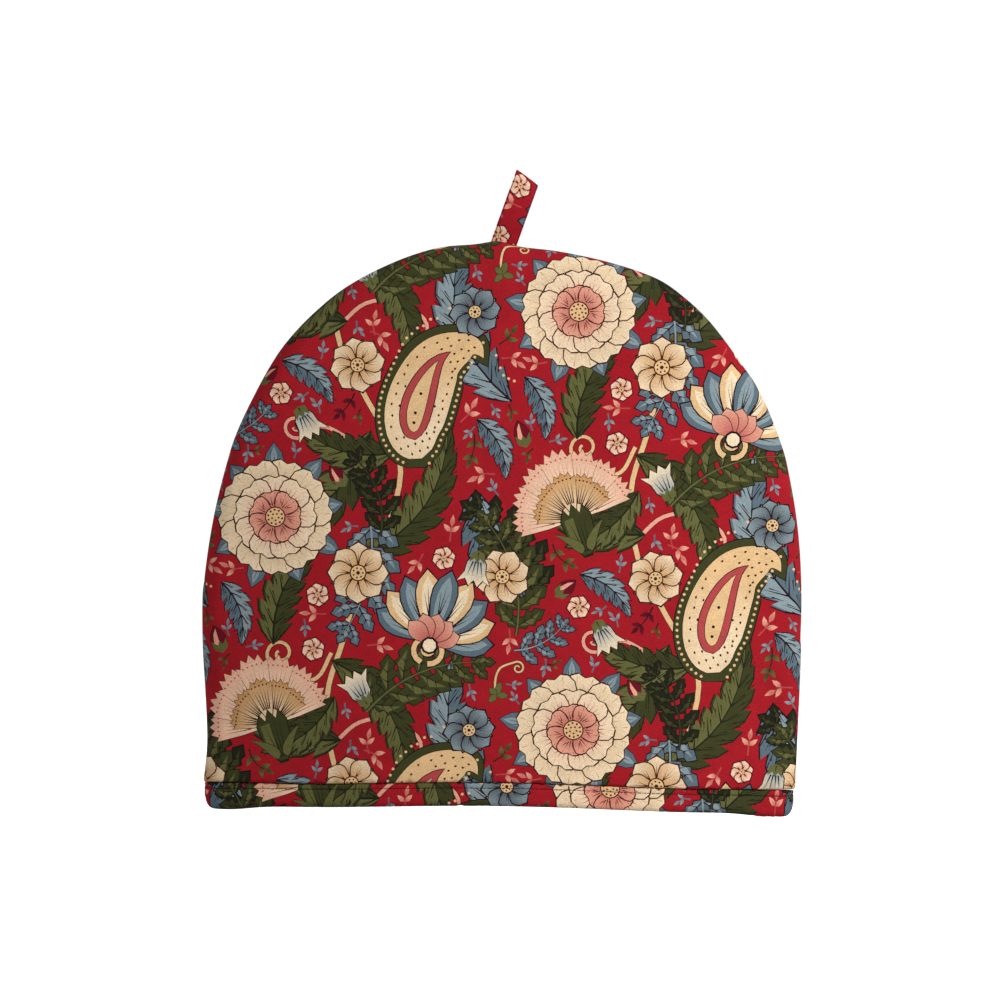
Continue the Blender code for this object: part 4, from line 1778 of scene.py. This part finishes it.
@dataclass
class Panel:
    """One padded face of the cosy: printed cotton outside, plain cotton inside.

    Its side is -1 for the front panel and 1 for the back one. The lip is the radius that its bottom edge
    is rolled under with. Its face and its back have corners on a grid and, nearer to the edge, in rows.
    The longest edges of its print are those at the hem, those near the sewn edge and the others. The
    seam's puckers are deepest a little way in from the edge, and the loop's foot holds the seam open.
    Puckers and creases fade out at the edge and towards the hem. Places where the padding is fuller than
    it is near the edge count as far inside.
    """

    node: str
    side: float
    hollows: tuple[Hollow, ...]
    creases: tuple[Crease, ...]
    print_shift: complex
    pucker_phase: float
    form: CosyForm = CosyForm()
    lip: float = 1.6
    grid: float = 5.0
    edge_rows: tuple[float, ...] = (1.2, 2.6, 4.2, 6.0, 8.0, 10.2, 12.9, 16.5)
    back_grid: float = 9.0
    back_rows: tuple[float, ...] = (3.0, 7.0, 12.9)
    lip_rows: tuple[float, ...] = (-1.9, -1.25, -0.6, 0.0, 1.2)
    longest: tuple[float, float, float] = (1.0, 2.4, 8.0)
    near_edge: float = 14.0
    near_fullness: float = 0.26
    far_inside: float = 100.0
    bottom_step: float = 4.0
    grid_above_lip: float = 3.0
    side_margin: float = 2.0
    bottom_margin: float = 0.3
    row_margin: float = 1.0
    grid_margin: float = 0.4
    lining_top: float = 20.0
    pucker: float = 0.5
    pucker_in: float = 8.0
    pucker_fade: float = 7.0
    relief_in: float = 5.0
    relief_low: float = 18.0
    relief_fade: float = 12.0
    loop_x: float = -0.6
    loop_half_width: float = 8.4
    loop_half_thickness: float = 1.35
    loop_side_fade: float = 5.0
    loop_down_fade: float = 9.0

    def __post_init__(self) -> None:
        """Lay out the panel's flat edge, its two skins and its rolled bottom edge."""
        form, body = self.form, Edge(self.form.outline())
        self.roll_arc = QUARTER * math.sqrt((form.roll_reach ** 2 + form.roll_depth ** 2) / 2)
        self.slack = self.roll_arc - form.roll_reach
        self.edge = Edge(body.moved(self.slack))
        self.outer = Swell(form, body.points, self.hollows)
        self.inner = Swell(form, body.moved(-form.wall), self.hollows)
        self.lip_top = form.foot + self.lip
        self.low = self.lip_top - QUARTER * self.lip

    def build(self, repeat: Repeat, outside: bpy.types.Material, inside: bpy.types.Material) -> None:
        """Args:
            repeat: The print.
            outside: The printed cotton.
            inside: The plain cotton.
        """
        ends = self.edge.points[[-1, 0]]
        bottom = even_line(np.array([complex(end.real, self.low) for end in ends]), self.bottom_step)
        outline = self.to_flat(np.concatenate([self.edge.points, bottom]))[::int(self.side)]
        shapes = repeat.shapes_in(corners_of(outline), self.print_shift)
        cloth = CutCloth(outline, self.corner_places(self.grid, self.edge_rows), shapes, self.longest_edge)
        solid = ClothSolid(cloth, self.face, self.back, self.corner_places(self.back_grid, self.back_rows))
        thing = solid.build(self.node + "_cloth")
        dress(thing, self.node, "panel_cloth", outside, inside)

    def longest_edge(self, flat: Array) -> Array:
        """Return how long a print's edge may be: short where the cloth turns at the seam or the hem."""
        stretches = [flat.imag < self.lip_top + 0.5, self.settle(self.to_flat(flat))[0] < self.near_edge]
        return np.select(stretches, self.longest[:2], self.longest[2])

    def to_flat(self, places: Array) -> Array:
        """Return places of the cosy's plane as places of the cloth, seen from outside, or the other way."""
        return -self.side * places.real + 1j * places.imag

    def corner_places(self, spacing: float, depths: tuple[float, ...]) -> Array:
        """Set the corners that a skin needs to bend: rows along its edges and a grid between them.

        Args:
            spacing: How far apart the corners are.
            depths: How far in from the edge the rows are.

        Returns:
            The corners, as places of the flat cloth.
        """
        low, high = corners_of(self.edge.points)
        rows = [even_line(self.edge.moved(-depth), spacing)[1:-1] for depth in depths]
        rows.append(lattice(np.arange(low.real + self.side_margin, high.real - self.side_margin, spacing),
                            self.lip_top + np.array(self.lip_rows)))
        rows.append(lattice(np.arange(low.real, high.real, spacing),
                            np.arange(self.lip_top + self.grid_above_lip, high.imag, spacing)))
        places = np.concatenate(rows)
        limit = np.full(len(places), self.row_margin)
        limit[-len(rows[-1]):] = depths[-1] + self.grid_margin * spacing
        inside = self.edge.measure(places)[0]
        return self.to_flat(places[(inside > limit) & (places.imag > self.low + self.bottom_margin)])

    def settle(self, places: Array) -> tuple[Array, ...]:
        """Measure places from the flat edge, only those near it with care.

        Args:
            places: The places.

        Returns:
            How far each is inside the edge, the outward direction there, and the distance along it.
        """
        inside = np.full(len(places), self.far_inside)
        outward = np.zeros(len(places), complex)
        along = np.zeros(len(places))
        near = self.outer.fullness(places) < self.near_fullness
        inside[near], outward[near], along[near] = self.edge.measure(places[near])
        return np.maximum(inside, 0.0), outward, along

    def roll(self, place: Array, wall: float) -> tuple[Array, ...]:
        """Roll the edge of a skin in to the seam, which the loop's foot holds open.

        Args:
            place: Places of the flat skin.
            wall: How far behind the printed face the skin lies.

        Returns:
            Where the places lie in the seam plane, how far each stands out by the roll alone, and for each
            the turn of the roll, how far it is inside the edge, the outward direction and the way along it.
        """
        form = self.form
        inside, outward, along = self.settle(place)
        turn = QUARTER * np.clip(inside / self.roll_arc, 0, 1)
        reach = wall + (form.roll_reach - wall) * (1 - np.cos(turn))
        place = place - outward * np.where(turn < QUARTER, reach - inside + self.slack, 0.0)
        away = (np.abs(place.real - self.loop_x) - self.loop_half_width) / self.loop_side_fade
        away = np.clip(away, 0, 1)
        held = (1 - away ** 2 * (3 - 2 * away)) * np.exp(-(inside / self.loop_down_fade) ** 2)
        depth = form.seam_half_gap + (form.roll_depth - wall) * np.sin(turn)
        depth += self.loop_half_thickness * held
        return place, depth, turn, inside, outward, along

    def stand(self, place: Array, depth: Array) -> Array:
        """Return where places of the seam plane that stand out by a depth lie, in millimetres."""
        x, z = place.real, place.imag
        return np.column_stack([x, self.side * depth, z + self.form.arch(x, z)])

    def face(self, flat: Array) -> Array:
        """Find where places of the printed cloth lie.

        Args:
            flat: The flat places.

        Returns:
            The places in space, in millimetres.
        """
        place = self.to_flat(flat)
        under = np.clip((self.lip_top - place.imag) / self.lip, 0.0, QUARTER)
        place = place.real + 1j * np.where(under > 0, self.lip_top - self.lip * np.sin(under), place.imag)
        place, depth, turn, inside, outward, along = self.roll(place, 0.0)
        fade = (inside - self.pucker_in) / self.pucker_fade
        pucker = np.exp(-fade ** 2) * wave(along, self.pucker_phase)
        lift = self.pucker * pucker - sum(crease.depth_at(place) for crease in self.creases)
        lift *= np.clip(inside / self.relief_in, 0, 1)
        lift *= np.clip((place.imag - self.relief_low) / self.relief_fade, 0, 1)
        lift -= self.lip * (1 - np.cos(under))
        return self.stand(place + outward * np.cos(turn) * lift,
                          depth + self.outer.depth(place) + np.sin(turn) * lift)

    def back(self, flat: Array) -> Array:
        """Find where places of the plain cotton behind the padding lie.

        Args:
            flat: The flat places.

        Returns:
            The places in space, in millimetres.
        """
        place, top = self.to_flat(flat), self.lining_top
        share = np.clip((place.imag - self.low) / (top - self.low), 0, 1)
        drawn = np.where(share < 1.0, self.form.foot + share * (top - self.form.foot), place.imag)
        place, depth = self.roll(place.real + 1j * drawn, self.form.wall)[:2]
        return self.stand(place, depth + self.inner.depth(place))


@dataclass
class HemBand:
    """The strip of printed cotton folded round the bottom edges of both panels.

    Its outer leaf lies an inset in from the panels' faces, sways a little and is stitched below its
    turned-in top edge, and its inner leaf lies as far in as its reach. Its corners are a pitch apart along
    it, and closer where it turns round the ends of the base. Across it they are close in its rolled edges,
    beside the stitches and in the fold.
    """

    form: CosyForm = CosyForm()
    inset: float = 0.8
    reach: float = 6.65
    thickness: float = 0.9
    edge_roll: float = 0.9
    print_shift: complex = 30 + 100j
    sway: float = 0.25
    sway_fade: float = 14.0
    sway_start: float = 3.0
    seam_down: float = 3.9
    seam_depth: float = 0.55
    seam_half: float = 0.5
    stitch: float = 2.6
    thread: float = 0.4
    pitch: float = 5.0
    turn_reach: float = 14.0
    turn_pitch: float = 1.2
    edge_rolled: float = 2.0
    leaf_row: float = 7.4
    inner_pitch: float = 3.5
    longest: tuple[float, float] = (0.9, 4.0)

    def __post_init__(self) -> None:
        """Work out the path of the strip's cross-section and the strip's flat size."""
        roll, fold = self.edge_roll, (self.reach - self.inset) / 2
        low = self.form.band_top - roll
        arcs = ((complex(self.inset + roll, low), roll, 60, 120, 8),
                (complex(self.inset + fold, fold + 0.02), fold, 180, 180, 24),
                (complex(self.reach - roll, low), roll, 0, 120, 8))
        self.section = Edge(np.array([centre + cmath.rect(radius, math.radians(first + sweep * step / steps))
                                      for centre, radius, first, sweep, steps in arcs
                                      for step in range(steps + 1)]))
        self.width = float(self.section.arcs[-1])
        start = float(self.section.arcs[arcs[0][-1] + 1])
        self.fold_arcs = (start - 0.8, start + math.pi * fold + 0.8)
        self.bends = [self.seam_down + 0.7, *self.fold_arcs, self.width - self.edge_rolled]
        self.marks = np.linspace(0.0, 6.0, 1801)
        x, y = self.ring(self.marks, np.full(len(self.marks), self.inset))
        self.lengths = np.concatenate([[0.0], np.cumsum(np.hypot(np.diff(x), np.diff(y)))])
        self.length = float(self.lengths[-1])

    def build(self, repeat: Repeat, outside: bpy.types.Material, inside: bpy.types.Material) -> None:
        """Args:
            repeat: The print.
            outside: The printed cotton.
            inside: The plain cotton of its reverse.
        """
        reach = self.turn_reach
        end = np.arange(1.0, reach, self.turn_pitch)
        turn = self.length / 2 + np.arange(1.0 - reach, reach - 0.9, self.turn_pitch)
        straight = np.arange(reach + 1.0, self.length - reach, self.pitch)
        along = np.unique(np.concatenate([end, self.length - end, turn, straight]))
        across = np.concatenate([
            np.linspace(0, self.edge_rolled, 4)[1:], self.seam_down + np.linspace(-1.0, 1.0, 5),
            [self.leaf_row], np.linspace(*self.fold_arcs, 11),
            np.arange(self.fold_arcs[1] + 2.5, self.width - 3.0, self.inner_pitch),
            self.width - np.linspace(self.edge_rolled, 0, 4)[:-1]])
        inner = lattice(along, self.width - across)
        shapes = repeat.shapes_in((0j, complex(self.length, self.width)), self.print_shift) + self.stitches()
        cloth = CutCloth(rectangle(self.length, self.width, 3.0), inner, shapes, self.longest_edge)
        back = partial(self.lay, behind=self.thickness)
        solid = ClothSolid(cloth, self.face, back, inner, map_rows=4)
        thing = solid.build("hem_band_cloth")
        dress(thing, "hem_band", "band_cloth", outside, inside)

    def longest_edge(self, flat: Array) -> Array:
        """Return how long a print's edge may be: short at the strip's rolled edges and at its fold."""
        stretches = np.searchsorted(self.bends, self.width - flat.imag)
        return np.where(stretches % 2 == 0, *self.longest)

    def stitches(self) -> list[Shape]:
        """Mark the machine stitches that hold the strip's outer leaf, as small strokes of thread.

        Returns:
            The strokes.
        """
        shapes: list[Shape] = []
        for start in np.arange(1.0, self.length - 3.0, self.stitch):
            middle = complex(float(start), self.width - self.seam_down)
            Pen(shapes).line([middle, middle + 0.8 * self.stitch], self.thread, Ink.BLACK)
        return shapes

    def ring(self, marks: Array, inset: Array) -> tuple[Array, Array]:
        """Lay places round the hem.

        Args:
            marks: Where they are: 0 to 3 runs along the front and 3 to 6 along the back.
            inset: How far in from the panels' faces each of them is.

        Returns:
            Where they lie across the cosy, and where from front to back.
        """
        form = self.form
        half = form.sides[0][1] - inset
        side = np.where(marks <= 3.0, -1.0, 1.0)
        mark = np.where(marks <= 3.0, marks, 6.0 - marks)
        turn = QUARTER * np.where(mark < 1.0, mark, np.where(mark > 2.0, 3.0 - mark, 1.0))
        tip = half - (form.roll_reach - inset) * (1 - np.cos(turn))
        straight = (np.clip(mark, 1.0, 2.0) - 1.5) * 2.0 * (form.sides[0][1] - form.roll_reach)
        x = np.where(mark < 1.0, -tip, np.where(mark > 2.0, tip, straight))
        depth = (form.seam_half_gap + form.roll_depth - inset) * np.sin(turn)
        depth = depth + form.belly * np.clip(1 - (x / half) ** 2, 0, None)
        return x, side * depth

    def lay(self, flat: Array, behind: Array | float) -> Array:
        """Find where places of the strip lie.

        Args:
            flat: Places of the flat strip.
            behind: How far behind its printed face they are.

        Returns:
            The places in space, in millimetres.
        """
        down = self.width - flat.imag
        place, normal = self.section.at(down)
        place = place + normal * behind
        sway = self.sway * wave(flat.real * 0.6, 1.7)
        sway *= np.clip(1 - down / self.sway_fade, 0, 1) * np.clip(down / self.sway_start, 0, 1)
        marks = np.interp(flat.real, self.lengths, self.marks)
        x, y = self.ring(marks, np.clip(place.real - sway, 0.4, 7.0))
        return np.column_stack([x, y, place.imag + self.form.arch(x, place.imag)])

    def face(self, flat: Array) -> Array:
        """Return where places of the printed face lie, drawn in along the stitches."""
        groove = self.seam_depth * np.exp(-((self.width - flat.imag - self.seam_down) / self.seam_half) ** 2)
        return self.lay(flat, groove * (0.8 + 0.2 * np.cos(flat.real * math.tau / self.stitch)))


@dataclass
class HangingLoop:
    """The doubled tape that the cosy is lifted and hung by.

    Its ends reach down into the seam at its foot, its two layers swell apart above it, and its top leans
    to the right and slants down to that side. Its rows are where its corners lie across it, a pitch
    apart along it, and it gets thinner by a share at its sides. Its bend starts at an angle and sweeps
    on through another, both in degrees.
    """

    width: float = 14.2
    thickness: float = 1.2
    height: float = 36.0
    swell: float = 6.4
    lean: float = 19.0
    slant: float = 0.3
    foot: complex = -1.0 + 315.3j
    foot_depth: float = 6.0
    foot_gap: float = 0.68
    turn_start: float = 320.0
    turn_sweep: float = 280.0
    turn_steps: int = 12
    smooth_steps: int = 6
    # How far in from each edge of the tape its two thin lines of painted shade run.
    edge_shade_in: float = 0.7
    # The width of those lines of painted shade, drawn as dark maroon strokes.
    thread: float = 0.4
    thinning: float = 0.6
    pitch: float = 0.8
    print_shift: complex = 106 + 150j
    rows: tuple[float, ...] = (0.5, 1.2, 2.4, 4.7, 7.1, 9.5, 11.8, 13.0, 13.7)

    def __post_init__(self) -> None:
        """Work out the path of the tape's middle layer, seen from the side, and its length."""
        guides = [complex(-self.foot_gap, -self.foot_depth), complex(-self.foot_gap, -1.0)]
        for step in range(self.turn_steps + 1):
            turn = math.radians(self.turn_start - self.turn_sweep * step / self.turn_steps)
            out = self.swell * math.sin(turn) * math.sin(turn / 2)
            guides.append(complex(out, 0.5 * self.height * (1 - math.cos(turn))))
        guides += [complex(self.foot_gap, -1.0), complex(self.foot_gap, -self.foot_depth)]
        self.path = Edge(np.array(smooth(guides, self.smooth_steps)))
        self.length = float(self.path.arcs[-1])

    def build(self, repeat: Repeat, outside: bpy.types.Material) -> None:
        """Args:
            repeat: The print.
            outside: The printed cotton.
        """
        inner = lattice(np.array(self.rows), np.arange(self.pitch, self.length - self.pitch / 2, self.pitch))
        shapes = repeat.shapes_in((0j, complex(self.width, self.length)), self.print_shift)
        # Painted shade: a thin maroon line along each edge of the tape stands in for the shade where the
        # tape rounds off.
        for side in (self.edge_shade_in, self.width - self.edge_shade_in):
            seam = [complex(side, -1.0), complex(side, self.length + 1.0)]
            Pen(shapes).line(seam, self.thread, Ink.MAROON)
        outline = rectangle(self.width, self.length, 1.2)
        cloth = CutCloth(outline, inner, shapes, lambda flat: np.ones(len(flat)))
        skins = (partial(self.lay, lift=side * self.thickness / 2) for side in (1, -1))
        thing = ClothSolid(cloth, *skins, inner[::2]).build("hanging_loop_tape")
        dress(thing, "hanging_loop", "loop_cloth", outside, outside)

    def lay(self, flat: Array, lift: float) -> Array:
        """Find where places of the tape lie.

        Args:
            flat: Places of the flat tape.
            lift: How far out from its middle layer they are.

        Returns:
            The places in space, in millimetres.
        """
        across = flat.real - self.width / 2
        edge = np.clip(np.abs(across) / (self.width / 2), 0, 1)
        place, outward = self.path.at(flat.imag)
        place = place + outward * (lift * (1 - self.thinning * edge ** 6))
        share = np.clip(place.imag / self.height, 0, None)
        up = place.imag * (1 - self.slant * across / self.height * share ** 2)
        turned = (across + 1j * up) * cmath.rect(1.0, -math.radians(self.lean)) + self.foot
        return np.column_stack([turned.real, place.real, turned.imag])


@dataclass
class Studio:
    """The pale room the cosy is shown in, in metres, with a soft key light at the right.

    The camera stands at a distance and shows the frame's width at the cosy, rolled by some degrees. The
    sensor is in millimetres and the key in watts. The white table glows, and so does the backdrop.
    """

    distance: float = 9.0
    frame_width: float = 0.55
    sensor: float = 36.0
    aim: tuple[float, float, float] = (-0.0018, 0.0, 0.1718)
    roll: float = 0.8
    sky: float = 0.49
    backdrop: float = 1.05
    key: float = 57.0
    key_at: tuple[float, float, float] = (2.0, -1.7, 1.35)
    key_size: float = 1.1
    glow: float = 1.0

    def build(self) -> None:
        """Set up the floor, the lights and the camera."""
        self.lay_floor()
        self.light_room()
        self.set_camera()
        bpy.context.scene.view_settings.view_transform = "Standard"

    def lay_floor(self) -> None:
        """Lay a wide pale floor that looks white by its own light."""
        mesh = bpy.data.meshes.new("floor")
        mesh.from_pydata([(-5, -7, 0), (5, -7, 0), (5, 5, 0), (-5, 5, 0)], [], [(0, 1, 2, 3)])
        floor = bpy.data.objects.new("floor", mesh)
        bpy.context.scene.collection.objects.link(floor)
        material = bpy.data.materials.new("pale floor")
        material.use_nodes = True
        nodes = Nodes(material.node_tree)
        seen = nodes.add("LightPath").outputs["Is Camera Ray"]
        nodes.feed(material.node_tree.nodes["Principled BSDF"], {
            "Base Color": (0.75, 0.75, 0.75, 1.0), "Roughness": 0.9, "Specular IOR Level": 0.0,
            "Emission Color": (1.0, 1.0, 1.0, 1.0),
            "Emission Strength": nodes.sum("MULTIPLY", seen, self.glow)})
        mesh.materials.append(material)

    def light_room(self) -> None:
        """Light the room softly from the right, against a plain white background."""
        world = bpy.data.worlds.new("room")
        bpy.context.scene.world = world
        world.use_nodes = True
        nodes = Nodes(world.node_tree)
        seen = nodes.add("LightPath").outputs["Is Camera Ray"]
        strength = nodes.add("MapRange", {"To Min": self.sky, "To Max": self.backdrop, "Value": seen})
        nodes.feed(world.node_tree.nodes["Background"],
                   {"Color": (1.0, 1.0, 1.0, 1.0), "Strength": strength.outputs["Result"]})
        light = bpy.data.lights.new("soft light", "AREA")
        light.shape, light.size, light.energy = "DISK", self.key_size, self.key
        lamp = bpy.data.objects.new("soft light", light)
        lamp.location = self.key_at
        lamp.rotation_euler = (Vector(self.aim) - Vector(self.key_at)).to_track_quat("-Z", "Y").to_euler()
        bpy.context.scene.collection.objects.link(lamp)

    def set_camera(self) -> None:
        """Set up the camera in front of the cosy, level with its middle."""
        data = bpy.data.cameras.new("camera")
        data.sensor_fit, data.sensor_width = "HORIZONTAL", self.sensor
        data.lens = self.sensor * self.distance / self.frame_width
        data.clip_end = 40.0
        camera = bpy.data.objects.new("camera", data)
        bpy.context.scene.collection.objects.link(camera)
        stand = Vector(self.aim) - Vector((0.0, self.distance, 0.0))
        turn = Matrix.Rotation(math.radians(90.0), 4, "X") @ Matrix.Rotation(math.radians(self.roll), 4, "Z")
        camera.matrix_world = Matrix.Translation(stand) @ turn
        bpy.context.scene.camera = camera


FRONT_HOLLOWS = (
    Hollow(143, 62, 7, 34, 2),
    Hollow(-104, 236, 26, 14, 1.6),
    Hollow(96, 226, 30, 18, 1.2),
    Hollow(-30, 92, 60, 26, 1.5),
)
BACK_HOLLOWS = (
    Hollow(-138, 74, 8, 30, 1.8),
    Hollow(70, 190, 44, 24, 1.6),
    Hollow(-70, 236, 30, 16, 1.4),
    Hollow(20, 80, 56, 24, 1.5),
)
FRONT_CREASES = (
    Crease(-142, 196, -118, 190, 3.5, 0.7),
    Crease(-128, 226, -108, 212, 3, 0.6),
    Crease(-100, 258, -88, 240, 3.2, 0.6),
    Crease(60, 292, 52, 268, 3.5, 0.6),
    Crease(118, 240, 98, 226, 3.5, 0.6),
    Crease(150, 30, 147, 96, 4, 0.8),
    Crease(-150, 28, -146, 66, 4, 0.6),
    Crease(-60, 24, -20, 40, 6, 0.7),
    Crease(40, 26, 96, 34, 6, 0.6),
)
BACK_CREASES = (
    Crease(140, 190, 116, 182, 3.5, 0.7),
    Crease(96, 262, 82, 240, 3.2, 0.6),
    Crease(-112, 244, -92, 228, 3.4, 0.6),
    Crease(-150, 30, -146, 90, 4, 0.8),
    Crease(20, 24, 70, 44, 6, 0.7),
)


def main() -> None:
    """Build the cosy's pieces in order and report each one."""
    logging.basicConfig(level=logging.INFO, format="%(message)s")
    repeat = Repeat()
    logging.info("printed cotton: %d figures in the repeat", len(repeat.groups))
    printed = CottonFinish("printed cotton").material()
    plain = CottonFinish("plain cotton", plain=(226, 218, 200), thread=0.8).material()
    Panel("front_panel", -1.0, FRONT_HOLLOWS, FRONT_CREASES, 0j, 0.4).build(repeat, printed, plain)
    Panel("back_panel", 1.0, BACK_HOLLOWS, BACK_CREASES, 52 + 71j, 2.9).build(repeat, printed, plain)
    HemBand().build(repeat, printed, plain)
    HangingLoop().build(repeat, printed)
    Studio().build()


if __name__ == "__main__":
    main()
